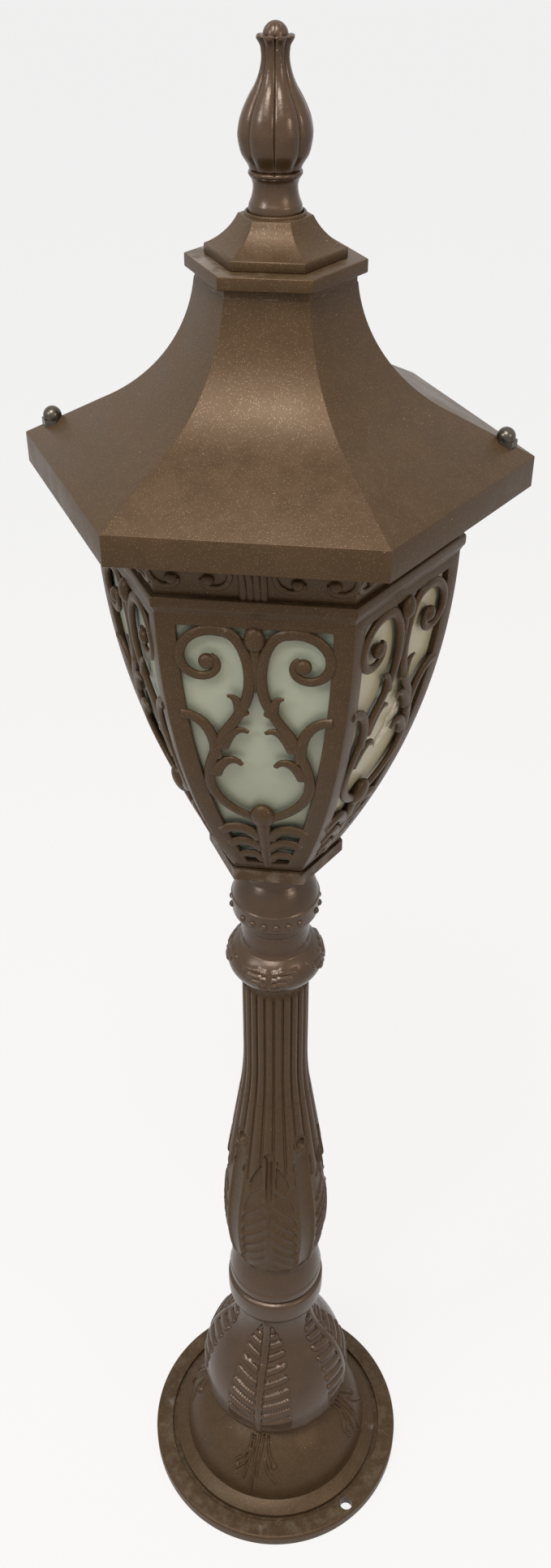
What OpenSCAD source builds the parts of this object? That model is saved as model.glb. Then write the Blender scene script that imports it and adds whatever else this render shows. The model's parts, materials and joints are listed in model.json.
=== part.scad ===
// Garden light: a hexagonal pierced lantern on a fluted post with a round bolt-down base.
// The origin is at the middle of the underside. Two corners of the hexagon lie on the X axis,
// and one side of the lantern faces -Y.

/* [Base] */
// Height of the base casting, up to the seat of the post
base_h = 283; // [265:1:320]
// Diameter of the base plate
plate_d = 220; // [214:1:240]
// Thickness of the base plate
plate_t = 11; // [9:0.5:12]
// Rounding of the plate's upper edge
plate_round = 2.5; // [1:0.5:3]
// Inner radius of the groove in the plate
groove_r = 91; // [88:0.5:92]
// Width of the groove
groove_w = 4.2; // [2:0.2:5]
// Depth of the groove below the plate's top
groove_depth = 3.5; // [1:0.5:5]
// Height of the shelf at the groove and at the dome, above the plate
shelf_rise = [1.5, 6.5];
// Radius of the dome at its foot
dome_r = 80; // [76:1:84]
// Radius of the dome's arc in section
dome_arc = 60; // [56:1:64]
// Greatest radius of the leaf bell
bell_r = 61; // [58:0.5:64]
// Height of the leaf bell's widest point
bell_z = 112; // [108:1:118]
// Radius of the convex arc of the bell
bell_arc = 92; // [86:1:100]
// Angle of that arc at the bell's shoulder
bell_shoulder = 37.5; // [34:0.5:40]
// Radius of the hollow arc above the shoulder
bell_hollow = 60; // [54:1:66]
// Radius of the bell's rounded lower lip
lip_arc = 16; // [12:1:18]
// Number of leaves round the bell
bell_leaves = 4; // [3:1:5]
// Pairs of bars on each of the bell's leaves
leaf_bars = 8; // [6:1:9]
// Height of the leaves above the bell
leaf_rise = 1.2; // [0.8:0.1:1.6]
// Greatest radius of the two collar rings
collar_r = 38.2; // [37:0.2:40]
// Wall of the base casting
base_wall = 5; // [4:0.5:6]
// Diameter of the bolt circle
bolt_circle_d = 203; // [202:0.5:204]
// Diameter of the bolt holes
bolt_hole_d = 11; // [9:0.5:11.5]
// Number of bolt holes
bolt_holes = 2; // [2:1:4]
// Angle of the first bolt hole from the X axis
bolt_angle = -45; // [-80:5:-10]

/* [Post] */
// Length of the post casting
post_l = 357.5; // [340:0.5:380]
// Radius of the post's rolled foot
foot_r = 34.6; // [34:0.1:36]
// Greatest radius of the belly
belly_r = 40.7; // [40:0.1:43]
// Height of the belly's widest point above the foot
belly_z = 55; // [52:1:58]
// Number of leaves round the belly, with a boss between each pair
post_leaves = 4; // [3:1:5]
// Height of the belly's leaves above its surface
acanthus_rise = 1.8; // [1:0.1:2.2]
// Radius of the bosses between the leaves
boss_r = 4.2; // [3.4:0.1:4.6]
// Radius of the plain part of the shaft
shaft_r = 20.6; // [20:0.1:22]
// Number of flutes
flutes = 22; // [16:1:24]
// Radius of a flute's section
flute_r = 2.9; // [2.6:0.1:3.2]
// Depth of a flute
flute_depth = 1.3; // [0.8:0.1:1.5]
// Greatest radius of the vase bulge
vase_r = 32; // [31:0.1:33]
// Height of the vase bulge's widest point below the post's top
vase_drop = 38.5; // [37:0.5:40]
// Radius of the arc of the vase bulge
vase_arc = 42; // [40:1:44]
// Radius of the post's upper seat
post_top_r = 23.3; // [22.6:0.1:24]
// Radius of the bore through the post
post_bore_r = 14; // [12:0.5:15]

/* [Neck cup] */
// Height of the neck cup
cup_h = 55.5; // [54:0.5:60]
// Greatest radius of the neck cup's band
cup_r = 28.2; // [27.6:0.1:29]
// Number of beads round the band
beads = 22; // [18:1:26]
// Radius of a bead
bead_r = 2.4; // [1.8:0.1:2.8]
// Radius of the cup's neck under the tray
cup_neck_r = 20; // [18:0.5:21]

/* [Lantern] */
// Corner radius of the tray
tray_corner_r = 41.6; // [41:0.1:43]
// Height of the tray
tray_h = 8; // [7:0.5:10]
// Thickness of the tray's floor
tray_floor = 4; // [3:0.5:5]
// Wall of the tray's lip
tray_lip = 2.2; // [1.6:0.1:2.4]
// Height of the lantern cage
cage_h = 214; // [206:1:222]
// Corner radius of the cage at its top
cage_corner_r = 97.5; // [95:0.5:100]
// Radius of the curve of the cage's sides
cage_arc = 446; // [440:1:470]
// Wall of the cage
cage_wall = 3.5; // [3:0.1:4.5]
// Height of the projecting ledge at the cage's top
ledge_h = 10; // [8:0.5:12]
// Projection of the ledge's corners
ledge_out = 2.5; // [1.5:0.5:3.5]
// Width of the side bars at each corner
stile_w = 10; // [9:0.5:11]
// Height of the bar above a window, below the ledge
top_bar = 6; // [4:0.5:8]
// Height of the bar below a window, above the foot
bottom_bar = 6; // [5:0.5:8]
// Half of the width of the scroll's stem
stem_w = 2.9; // [2.6:0.1:3.2]
// Thickness of the panes
pane_t = 3; // [2:0.5:4]
// Corner radius of the opening in the cage's top
cage_mouth_r = 80; // [76:1:84]

/* [Cornice and roof] */
// Height of the cornice ring
cornice_h = 33; // [30:1:36]
// Corner radius of the cornice at its foot
cornice_foot_r = 96.5; // [95:0.5:98]
// Corner radius of the cornice's flange
cornice_top_r = 124; // [122:0.5:125]
// Wall of the cornice
cornice_wall = 3.5; // [3:0.5:4]
// Thickness of the cornice's upper flange
flange_t = 7; // [5:0.5:8]
// Corner radius of the roof at its eaves
eave_r = 129.8; // [128:0.1:134]
// Height of the upright band round the eaves
eave_h = 10.8; // [9:0.2:13]
// Height of the roof from its eaves to its collar's top
roof_h = 107.6; // [100:0.1:116]
// Slope of the roof's straight part, across its sides
roof_slope = 28.5; // [26:0.5:31]
// Radius of the roof's hollow curve
roof_arc = 77.3; // [74:0.1:80]
// Corner radius of the roof's neck
roof_neck_r = 38.6; // [37:0.1:40]
// Wall of the roof
roof_wall = 3.5; // [3:0.1:4]
// Corner radius of the collar on the neck
collar_slab_r = 43.4; // [42:0.2:45]
// Thickness of that collar
collar_slab_t = 6.2; // [5:0.2:8]
// Distance of the roof studs from the middle
stud_r = 114.7; // [113:0.1:116]
// Diameter of the roof studs
stud_d = 6; // [5:1:6]
// Height of the nuts' seats above the eaves
nut_seat = 17; // [16:0.5:18]

/* [Crown] */
// Corner radius of the crown cap
crown_r = 33.9; // [32:0.1:36]
// Height of the crown cap's upright edge
crown_edge = 4.5; // [3:0.5:6]
// Height of the crown cap
crown_h = 19.9; // [18:0.1:22]
// Outer radius of the crown cap's round lip
crown_lip_r = 14.4; // [14:0.1:15]
// Depth of the recess inside the lip
crown_recess = 3; // [2:0.5:4]
// Height of the finial from its seat
finial_h = 78.8; // [70:0.1:90]
// Greatest radius of the finial
finial_r = 17.4; // [16:0.1:19]
// Number of the finial's lobes
lobes = 8; // [6:1:10]

/* [Fittings] */
// Diameter of the hollow tie rod
rod_d = 10; // [10:1:12]
// Bore of the tie rod
rod_bore = 7; // [6:0.5:7]
// Diameter of the finial's stud
finial_stud_d = 8; // [6:1:8]
// Diameter of the cornice and cage screws
screw_d = 4; // [3:0.5:4]
// Running clearance between pieces
fit = 0.2; // [0.1:0.05:0.3]
// Radius of the lamp holder
holder_r = 19.5; // [18:0.5:21]
// Height of the lamp holder's body
holder_h = 32; // [30:1:36]
// Diameter of the bulb
bulb_d = 60; // [55:1:62]
// Length of the bulb
bulb_l = 110; // [105:1:114]

/* [Hidden] */
$fn = 72;

bronze = "#5c4c3e";
bronze_dark = "#4a3c31";
pane_colour = "#b4b596";
sealant_colour = "#d8d2bd";
steel = "#8f9092";
brass = "#b59a55";
porcelain = "#e9e6dc";

smooth = 360;
face_ratio = cos(30);
face_angles = [for (k = [0:5]) 30 + 60 * k];

// Heights of the seats, from the ground up
post_z = base_h;
cup_z = post_z + post_l;
tray_z = cup_z + cup_h;
cage_z = tray_z + tray_floor;
tray_top_z = tray_z + tray_h;
cage_top_z = cage_z + cage_h;
cornice_top_z = cage_top_z + cornice_h;
eave_z = cornice_top_z - 5;
roof_top_z = eave_z + roof_h;
crown_top_z = roof_top_z + crown_h;
finial_z = crown_top_z - crown_recess;

// Points of an arc about a centre
function arc_pts(c, r, a0, a1, n) = [for (i = [0:n])
    let (a = a0 + (a1 - a0) * i / n) c + r * [cos(a), sin(a)]];

// Points of a cubic curve
function curve(p, n) = [for (i = [0:n])
    let (t = i / n, s = 1 - t) s * s * s * p[0] + 3 * s * s * t * p[1] + 3 * s * t * t * p[2] + t * t * t * p[3]];

// Direction of a line of points at point i
function heading(p, i) = let (d = p[min(i + 1, len(p) - 1)] - p[max(i - 1, 0)]) d / norm(d);

// One edge of a tapering ribbon along a line of points
function ribbon_edge(p, w0, w1, side) = [for (i = [0:len(p) - 1])
    let (h = heading(p, i), w = w0 + (w1 - w0) * i / (len(p) - 1)) p[i] + side * w * [-h[1], h[0]]];

function backwards(p) = [for (i = [len(p) - 1:-1:0]) p[i]];
function rest(p) = [for (i = [1:len(p) - 1]) p[i]];

module ribbon(p, w0, w1) {
    polygon(concat(ribbon_edge(p, w0, w1, 1), backwards(ribbon_edge(p, w0, w1, -1))));
}

// Outline given by its right half, from the bottom to the top
module mirrored(p) {
    polygon(concat(p, [for (q = backwards(p)) [-q[0], q[1]]]));
}

// A shape beside the vertical axis is repeated on its other side
module both_sides() {
    children();
    mirror([1, 0]) children();
}

// The profile is drawn through the middle, square to one pair of sides
module across(turn, span) {
    rotate([0, 0, turn])
        rotate([90, 0, 0])
            linear_extrude(height = span, center = true)
                children();
}

// Solid with a hexagonal plan, from the profile across its sides
module six_sided(span) {
    intersection() {
        across(30, span) children();
        across(90, span) children();
        across(150, span) children();
    }
}

// Straight hexagonal prism by corner radius
module hex_prism(corner_r, z0, z1) {
    translate([0, 0, z0])
        cylinder(r = corner_r, h = z1 - z0, $fn = 6);
}

// Extrusion from the middle outwards, of a shape drawn as seen from outside
module outwards(turn, r0, r1) {
    rotate([0, 0, turn])
        translate([r0, 0, 0])
            rotate([90, 0, 90])
                linear_extrude(height = r1 - r0)
                    children();
}

module disc(r, z0, z1) {
    translate([0, 0, z0])
        cylinder(r = r, h = z1 - z0);
}

// Leaf with a middle rib and pairs of bars that rise or fall from it, from the bottom to the top
module barred_leaf(rib, bar_t, roots, tips) {
    mirrored(concat(
        [[rib, roots[0][1] - 2 * bar_t]],
        [for (i = [0:len(roots) - 1]) each [
            roots[i] - [0, bar_t / 2],
            tips[i] - [0.8, bar_t * 0.4],
            tips[i],
            tips[i] + [-0.8, bar_t * 0.4],
            roots[i] + [0, bar_t / 2]]],
        [[rib * 0.7, roots[len(roots) - 1][1] + 3 * bar_t]]));
}

module ring(r_out, r_in, z0, z1) {
    difference() {
        disc(r_out, z0, z1);
        disc(r_in, z0 - 1, z1 + 1);
    }
}

module hex_nut(flats, bore, z0, z1) {
    difference() {
        hex_prism(flats / 2 / face_ratio, z0, z1);
        disc(bore / 2, z0 - 1, z1 + 1);
    }
}

// Base casting

shelf_z = plate_t + shelf_rise[1];
dome_c = [dome_r - dome_arc, shelf_z];
bell_c = [bell_r - bell_arc, bell_z];
shoulder = bell_c + bell_arc * [cos(bell_shoulder), sin(bell_shoulder)];
hollow_c = shoulder + bell_hollow * [cos(bell_shoulder), sin(bell_shoulder)];
bell_neck_r = hollow_c[0] - bell_hollow;
lip_c = [bell_r - lip_arc, bell_z - 13];
bell_foot_r = lip_c[0];
upper_ring_z = base_h - 37;
lower_ring_z = upper_ring_z - 18;
dome_end = acos((bell_foot_r - dome_c[0]) / dome_arc);
register_r = 21;
register_h = 3;
base_top_wall = 13;
cavity_foot_r = dome_r - base_wall;
cavity_turn = acos((bell_foot_r - base_wall - dome_c[0]) / (dome_arc - base_wall));

module base_outline() {
    polygon(concat(
        [[0, 0], [plate_d / 2, 0]],
        arc_pts([plate_d / 2 - plate_round, plate_t - plate_round], plate_round, 0, 90, 4),
        [[groove_r + groove_w, plate_t],
         [groove_r + groove_w, plate_t - groove_depth],
         [groove_r, plate_t - groove_depth],
         [groove_r, plate_t + shelf_rise[0]],
         [dome_r, shelf_z]],
        arc_pts(dome_c, dome_arc, 3, dome_end, 12),
        arc_pts(lip_c, lip_arc, -90, 0, 6),
        arc_pts(bell_c, bell_arc, 0, bell_shoulder, 10),
        arc_pts(hollow_c, bell_hollow, 180 + bell_shoulder, 180, 6),
        [[bell_neck_r, lower_ring_z - 14]],
        curve([[collar_r - 4, lower_ring_z - 8], [collar_r, lower_ring_z - 6],
               [collar_r, lower_ring_z], [collar_r, lower_ring_z + 4]], 5),
        [[collar_r, lower_ring_z + 14],
         [collar_r - 1.8, lower_ring_z + 16],
         [collar_r - 1.8, upper_ring_z - 0.8],
         [collar_r - 0.6, upper_ring_z]],
        curve([[collar_r - 0.4, upper_ring_z + 11], [collar_r - 0.6, upper_ring_z + 20],
               [collar_r - 3, upper_ring_z + 28], [foot_r - 2, base_h]], 6),
        [[register_r, base_h], [register_r, base_h + register_h], [0, base_h + register_h]]));
}

// Bell with its surface raised by the leaves
module leaf_skin() {
    rotate_extrude($fn = smooth / 3)
        polygon(concat(
            [[bell_neck_r - base_wall, lip_c[1] - lip_arc + base_wall]],
            arc_pts(lip_c, lip_arc + leaf_rise, -60, 0, 5),
            arc_pts(bell_c, bell_arc + leaf_rise, 0, bell_shoulder, 10),
            arc_pts(hollow_c, bell_hollow - leaf_rise, 180 + bell_shoulder, 180, 6)));
}

leaf_foot_z = bell_z - 4;
leaf_head_z = hollow_c[1] - 6;
leaf_turn = -97;
bar_t = 4.6;
bar_spread = 27;
bar_climb = 0.4;

// Radius of the bell at a height above its widest point
function bell_side(z) = z < shoulder[1]
    ? bell_c[0] + sqrt(bell_arc * bell_arc - (z - bell_z) * (z - bell_z))
    : hollow_c[0] - sqrt(bell_hollow * bell_hollow - (z - hollow_c[1]) * (z - hollow_c[1]));

bar_z = [for (i = [0:leaf_bars - 1]) leaf_foot_z + (leaf_head_z - leaf_foot_z) * pow(i / leaf_bars, 0.9)];

module bell_leaf() {
    barred_leaf(2.6, bar_t,
        [for (z = bar_z) [1.8, z]],
        [for (z = bar_z) let (reach = bell_side(z) * sin(bar_spread)) [reach, z + reach * bar_climb]]);
}

// One rib of the plumes that fan down the dome under each leaf
plume_turns = [-9, -4.5, 0, 4.5, 9];
plume_feet = [34, 24, 20, 24, 34];
plume_r = 1.6;

module plume_rib(turn, foot) {
    rotate([0, 0, turn])
        translate([dome_c[0], 0, dome_c[1]])
            rotate([90, 0, 0])
                rotate([0, 0, foot])
                    rotate_extrude(angle = dome_end - 2 - foot)
                        translate([dome_arc - 0.3, 0])
                            circle(r = plume_r, $fn = 20);
}

module plume(turn) {
    for (i = [0:len(plume_turns) - 1])
        plume_rib(turn + plume_turns[i], plume_feet[i]);
}

module base_hollow() {
    polygon(concat(
        [[0, -1], [cavity_foot_r, -1], [cavity_foot_r, shelf_z]],
        arc_pts(dome_c, dome_arc - base_wall, 8, cavity_turn, 8),
        [[bell_foot_r - base_wall, lip_c[1] - lip_arc + base_wall / 2]],
        arc_pts(lip_c, lip_arc - base_wall, -80, 0, 5),
        arc_pts(bell_c, bell_arc - base_wall, 0, bell_shoulder, 8),
        arc_pts(hollow_c, bell_hollow + base_wall, 180 + bell_shoulder, 180, 5),
        [[bell_neck_r - base_wall, base_h - base_top_wall], [0, base_h - base_top_wall]]));
}

module base_casting() {
    color(bronze)
        difference() {
            union() {
                rotate_extrude($fn = smooth / 3)
                    base_outline();
                for (k = [0:bell_leaves - 1]) {
                    intersection() {
                        leaf_skin();
                        outwards(leaf_turn + 360 * k / bell_leaves, bell_neck_r - base_wall, bell_r + 5)
                            bell_leaf();
                    }
                    plume(leaf_turn + 360 * k / bell_leaves);
                }
            }
            rotate_extrude()
                base_hollow();
            disc(rod_d / 2 + fit, base_h - base_top_wall - 1, base_h + register_h + 1);
            for (k = [0:bolt_holes - 1])
                rotate([0, 0, bolt_angle + 360 * k / bolt_holes])
                    translate([bolt_circle_d / 2, 0, -1])
                        cylinder(d = bolt_hole_d, h = plate_t + 2);
        }
}

// Post

belly_c_z = post_z + belly_z;
belly_low_arc = 200;
belly_high_arc = 240;
taper = 8.2;
flare_arc = 293;
taper_z = belly_c_z + belly_high_arc * sin(taper);
taper_r = belly_r - belly_high_arc * (1 - cos(taper));
flare_r = shaft_r + flare_arc * (1 - cos(taper));
flare_z = taper_z + (taper_r - flare_r) / tan(taper);
shaft_z = flare_z + flare_arc * sin(taper);
vase_z = cup_z - vase_drop;
vase_c = [vase_r - vase_arc, vase_z];
vase_low = -acos((shaft_r + 1.6 - vase_c[0]) / vase_arc);
vase_high = acos((post_top_r - vase_c[0]) / vase_arc);
post_wall = 6;

function flare_pts(n) = arc_pts([shaft_r + flare_arc, shaft_z], flare_arc, 180 + taper, 180, n);

module post_outline() {
    polygon(concat(
        [[0, post_z], [foot_r - 2.4, post_z], [foot_r - 1.4, post_z + 3], [foot_r - 1.2, post_z + 4.5]],
        arc_pts([belly_r - belly_low_arc, belly_c_z], belly_low_arc, -14, 0, 7),
        arc_pts([belly_r - belly_high_arc, belly_c_z], belly_high_arc, 0, taper, 4),
        flare_pts(3),
        [[shaft_r, vase_z - 48], [shaft_r + 0.6, vase_z - 36]],
        arc_pts(vase_c, vase_arc, vase_low, vase_high, 14),
        [[post_top_r, cup_z], [0, cup_z]]));
}

module post_hollow() {
    polygon(concat(
        [[0, post_z - 1], [register_r + fit, post_z - 1], [register_r + fit, post_z + 8]],
        [[belly_r - post_wall - 2, belly_c_z - 30], [belly_r - post_wall, belly_c_z],
         [taper_r - post_wall, taper_z], [post_bore_r, flare_z], [post_bore_r, cup_z + 1], [0, cup_z + 1]]));
}

// One flute is cut by two round rods that lie half in the surface
flute_out = flute_r - flute_depth;
flute_start = 9;
flute_foot = [taper_r - flute_start, taper_z + flute_start / tan(taper)] + flute_out * [cos(taper), sin(taper)];
flute_knee = [shaft_r + flute_out, (flare_z + shaft_z) / 2];
flute_head = [shaft_r + flute_out, vase_z - 30];

module rod_between(p, q, r) {
    d = q - p;
    translate([p[0], 0, p[1]])
        rotate([0, atan2(d[0], d[1]), 0])
            cylinder(r = r, h = norm(d), $fn = 24);
}

module flute() {
    rod_between(flute_foot, flute_knee, flute_r);
    rod_between(flute_knee, flute_head, flute_r);
}

// Belly with its surface raised by the leaves
module acanthus_skin() {
    rotate_extrude($fn = smooth / 3)
        polygon(concat(
            [[foot_r - post_wall, post_z + 3]],
            arc_pts([belly_r - belly_low_arc, belly_c_z], belly_low_arc + acanthus_rise, -14, 0, 7),
            arc_pts([belly_r - belly_high_arc, belly_c_z], belly_high_arc + acanthus_rise, 0, taper, 4),
            [[flare_r + acanthus_rise, flare_z], [shaft_r - 3, flare_z]]));
}

acanthus_turn = -91;
lobe_pitch = 14.5;
lobe_t = 11;
lobe_fall = 0.95;
lobe_reach = [19, 20, 21, 22.5, 23, 21, 15, 9];
lobe_roots = [for (i = [0:len(lobe_reach) - 1]) [1.2, belly_c_z - 21 + lobe_pitch * i]];
boss_rise = 63;
boss_z = taper_z + boss_rise;
boss_path_r = taper_r - boss_rise * tan(taper) - 1;

module acanthus_leaf() {
    barred_leaf(1.2, lobe_t, lobe_roots,
        [for (i = [0:len(lobe_reach) - 1]) [lobe_reach[i], lobe_roots[i][1] - lobe_reach[i] * lobe_fall]]);
}

module post_shaft() {
    color(bronze)
        difference() {
            union() {
                rotate_extrude($fn = smooth / 3)
                    post_outline();
                for (k = [0:post_leaves - 1]) {
                    rotate([0, 0, 360 * k / post_leaves])
                        intersection() {
                            acanthus_skin();
                            outwards(acanthus_turn, shaft_r, belly_r + 5)
                                acanthus_leaf();
                        }
                    rotate([0, 0, acanthus_turn + 360 * (k + 0.5) / post_leaves])
                        translate([boss_path_r, 0, boss_z])
                            sphere(r = boss_r, $fn = 32);
                }
            }
            rotate_extrude()
                post_hollow();
            for (k = [0:flutes - 1])
                rotate([0, 0, 360 * (k + 0.5) / flutes])
                    flute();
        }
}

// Neck cup

cup_band_z = cup_z + 6;
cup_rim_z = cup_z + 19;
cup_dome_c = [cup_r - 30.4, cup_rim_z - 5];
cup_dome_end = acos((cup_neck_r - cup_dome_c[0]) / 30.4);
spigot_h = 4;

module cup_outline() {
    polygon(concat(
        [[0, cup_z - spigot_h], [post_bore_r - fit, cup_z - spigot_h], [post_bore_r - fit, cup_z],
         [post_top_r + 0.9, cup_z]],
        curve([[post_top_r + 1.2, cup_z + 1.5], [cup_r - 2.6, cup_z + 2.5],
               [cup_r - 0.8, cup_band_z - 2], [cup_r - 0.4, cup_band_z]], 5),
        [[cup_r + 0.3, cup_rim_z - 2.5], [cup_r + 0.3, cup_rim_z - 0.8], [cup_r - 0.4, cup_rim_z]],
        arc_pts(cup_dome_c, 30.4, 12, cup_dome_end, 8),
        [[cup_neck_r, tray_z], [0, tray_z]]));
}

module cup_hollow() {
    polygon([[0, cup_z - spigot_h - 1], [post_bore_r - 4, cup_z - spigot_h - 1],
        [post_bore_r - 4, cup_z + 4], [cup_r - 5, cup_band_z + 4], [cup_r - 5, cup_rim_z - 2],
        [cup_neck_r - 5, cup_rim_z + 14], [cup_neck_r - 5, tray_z - 5], [0, tray_z - 5]]);
}

module neck_cup() {
    color(bronze_dark)
        difference() {
            union() {
                rotate_extrude($fn = smooth / 3)
                    cup_outline();
                for (k = [0:beads - 1])
                    rotate([0, 0, 360 * k / beads])
                        translate([cup_r - 0.6, 0, cup_band_z + 4.6])
                            sphere(r = bead_r, $fn = 20);
            }
            rotate_extrude()
                cup_hollow();
            disc(rod_d / 2 + fit, tray_z - 6, tray_z + 1);
        }
}

// Lantern tray

cage_foot_r = tray_corner_r - (tray_lip + 2 * fit) / face_ratio;
cage_screw_r = 22.8;
cage_screws_n = 3;
foot_mouth_r = 19;

module cage_screw_places() {
    for (k = [0:cage_screws_n - 1])
        rotate([0, 0, 90 + 360 * k / cage_screws_n])
            translate([cage_screw_r, 0, 0])
                children();
}

module lantern_tray() {
    color(bronze)
        difference() {
            hex_prism(tray_corner_r, tray_z, tray_top_z);
            hex_prism(tray_corner_r - tray_lip / face_ratio, cage_z, tray_top_z + 1);
            disc(rod_d / 2 + fit, tray_z - 1, cage_z + 1);
            cage_screw_places()
                disc(screw_d / 2, tray_z - 1, cage_z + 1);
        }
}

// Lantern cage

cage_face_r = cage_corner_r * face_ratio;
cage_body_z = cage_z + 6;
ledge_z = cage_top_z - ledge_h;
cage_arc_z = ledge_z + 6;
window_top = ledge_z - top_bar;
window_bottom = cage_body_z + bottom_bar;
foot_plate = 4;
mouth_plate = 4;

// Distance of the cage's side from the middle at a height, and half of a side's width there
function side_r(z) = cage_face_r - cage_arc + sqrt(cage_arc * cage_arc - (cage_arc_z - z) * (cage_arc_z - z));
function half_side(z) = side_r(z) * tan(30);

module side_profile(inset, z0, z1) {
    intersection() {
        translate([cage_face_r - cage_arc, cage_arc_z])
            circle(r = cage_arc - inset, $fn = 2 * smooth);
        translate([-cage_face_r + cage_arc, cage_arc_z])
            circle(r = cage_arc - inset, $fn = 2 * smooth);
        translate([-cage_face_r, z0])
            square([2 * cage_face_r, z1 - z0]);
    }
}

module side_skin(inset, z0, z1) {
    six_sided(3 * cage_corner_r)
        side_profile(inset, z0, z1);
}

window_steps = 6;
window_edge = [for (i = [0:window_steps])
    let (z = window_bottom + (window_top - window_bottom) * i / window_steps) [half_side(z) - stile_w, z]];

module window_outline() {
    mirrored(window_edge);
}

// Scrollwork of one window: places are measured up from the window's foot
scroll_eye = [25, 165.4];
coil_r = 20.7;
coil_tight = 0.25;
coil_from = 62;
coil_to = 345;

function coil_pts(n) = [for (i = [0:n])
    let (a = coil_from + (coil_to - coil_from) * i / n, r = coil_r * exp(-coil_tight * (a - coil_from) * PI / 180))
    scroll_eye + r * [-cos(a), sin(a)]];

stem_foot = [5, 51];
stem_bulge = [27.2, 82];
stem_fork = [17.5, 119];
stem_waist = [2.9, 156];
stem_pts = concat(
    curve([stem_foot, [16, 56], [27, 68], stem_bulge], 5),
    rest(curve([stem_bulge, [27.3, 96], [21.8, 107], stem_fork], 4)),
    rest(curve([stem_fork, [11.5, 128], [2.9, 140], stem_waist], 4)),
    rest(curve([stem_waist, [2.9, 170], [7.5, 182.5], coil_pts(1)[0]], 5)),
    rest(coil_pts(14)));

module half_scroll() {
    ribbon(stem_pts, stem_w, stem_w);
    ribbon(curve([[22.5, 101], [21.3, 116], [26, 130.5], [39, 131.5]], 5), stem_w - 0.3, 1.9);
    ribbon(curve([[19, 109], [15, 119], [10, 125.5], [3.6, 121]], 5), stem_w - 0.4, 0.9);
    ribbon(curve([[24, 88], [20, 99.5], [12, 103], [8.2, 96]], 5), stem_w - 0.4, 1.2);
    ribbon(curve([[7.5, 133], [8.2, 139], [9.5, 145.6], [14.6, 145]], 5), stem_w - 0.5, 0.7);
}

module scroll_bud() {
    translate([0, 180.6])
        circle(r = 5.2, $fn = 24);
    polygon([[-4.9, 179], [0, 148], [4.9, 179]]);
}

module palmette() {
    translate([0, 53.6])
        circle(r = 7.2, $fn = 28);
    polygon([[-7, 52], [-3.6, 36], [-2.6, -1], [2.6, -1], [3.6, 36], [7, 52]]);
    both_sides() {
        ribbon(curve([[3, 30], [8, 40], [15, 43], [24, 36]], 5), 3.4, 3);
        ribbon(curve([[2, 18], [7, 26], [12, 28.5], [20, 22]], 5), 3.4, 3);
        ribbon(curve([[2, 5], [5, 12], [9, 14.5], [15, 9]], 5), 3, 2.8);
    }
}

module scrollwork() {
    translate([0, window_bottom]) {
        both_sides()
            half_scroll();
        scroll_bud();
        palmette();
    }
}

module cage_outside() {
    side_skin(0, cage_body_z, ledge_z + 1);
    hex_prism(cage_foot_r, cage_z, cage_body_z + 1);
    hex_prism(cage_corner_r + ledge_out, ledge_z, cage_top_z);
}

module lantern_cage() {
    color(bronze)
        difference() {
            cage_outside();
            side_skin(cage_wall, cage_z + foot_plate, cage_top_z - mouth_plate);
            hex_prism(cage_mouth_r, cage_top_z - mouth_plate - 1, cage_top_z + 1);
            disc(foot_mouth_r, cage_z - 1, cage_z + foot_plate + 1);
            cage_screw_places()
                disc(screw_d / 2 + fit, cage_z - 1, cage_z + foot_plate + 1);
            cornice_screw_places()
                disc(screw_d / 2, cage_top_z - mouth_plate - 1, cage_top_z + 1);
            for (a = face_angles)
                outwards(a, 20, cage_corner_r + 10)
                    difference() {
                        window_outline();
                        scrollwork();
                    }
        }
}

// Panes and their sealant

pane_inset = cage_wall + fit;
pane_foot_z = cage_z + foot_plate + fit;
pane_top_z = cage_top_z - mouth_plate - 2;
seam_w = 1.6;

module sector(turn, side_gap) {
    rotate([0, 0, turn])
        translate([0, 0, pane_foot_z - 1])
            linear_extrude(height = cage_h)
                polygon([[2 * side_gap, 0],
                         [2 * cage_corner_r + 2 * side_gap, 2 * cage_corner_r * tan(30)],
                         [2 * cage_corner_r + 2 * side_gap, -2 * cage_corner_r * tan(30)]]);
}

module glass_pane(k) {
    color(pane_colour)
        intersection() {
            difference() {
                across(face_angles[k - 1], 2 * cage_corner_r)
                    side_profile(pane_inset, pane_foot_z, pane_top_z);
                across(face_angles[k - 1], 3 * cage_corner_r)
                    side_profile(pane_inset + pane_t, pane_foot_z - 1, pane_top_z + 1);
            }
            sector(face_angles[k - 1], seam_w);
        }
}

module pane_sealant() {
    color(sealant_colour)
        intersection() {
            difference() {
                side_skin(pane_inset, pane_foot_z + 1, pane_top_z - 1);
                side_skin(pane_inset + pane_t, pane_foot_z, pane_top_z);
            }
            for (k = [0:5])
                rotate([0, 0, 60 * k])
                    translate([0, -seam_w + fit / 2, pane_foot_z])
                        cube([cage_corner_r, 2 * seam_w - fit, cage_h]);
        }
}

// Cornice ring

cornice_face_r = cornice_foot_r * face_ratio;
cornice_screw_r = 73;
cove_top_r = 102;
cove_z = cornice_top_z - flange_t;
floor_t = 4;
flange_mouth = 94;

module cornice_screw_places() {
    for (a = face_angles)
        rotate([0, 0, a])
            translate([cornice_screw_r, 0, 0])
                children();
}

cove = curve([[cornice_face_r + 0.5, cage_top_z + 2.5], [cornice_face_r + 2, cage_top_z + 14],
              [cove_top_r - 10, cove_z - 2], [cove_top_r, cove_z]], 6);

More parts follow.
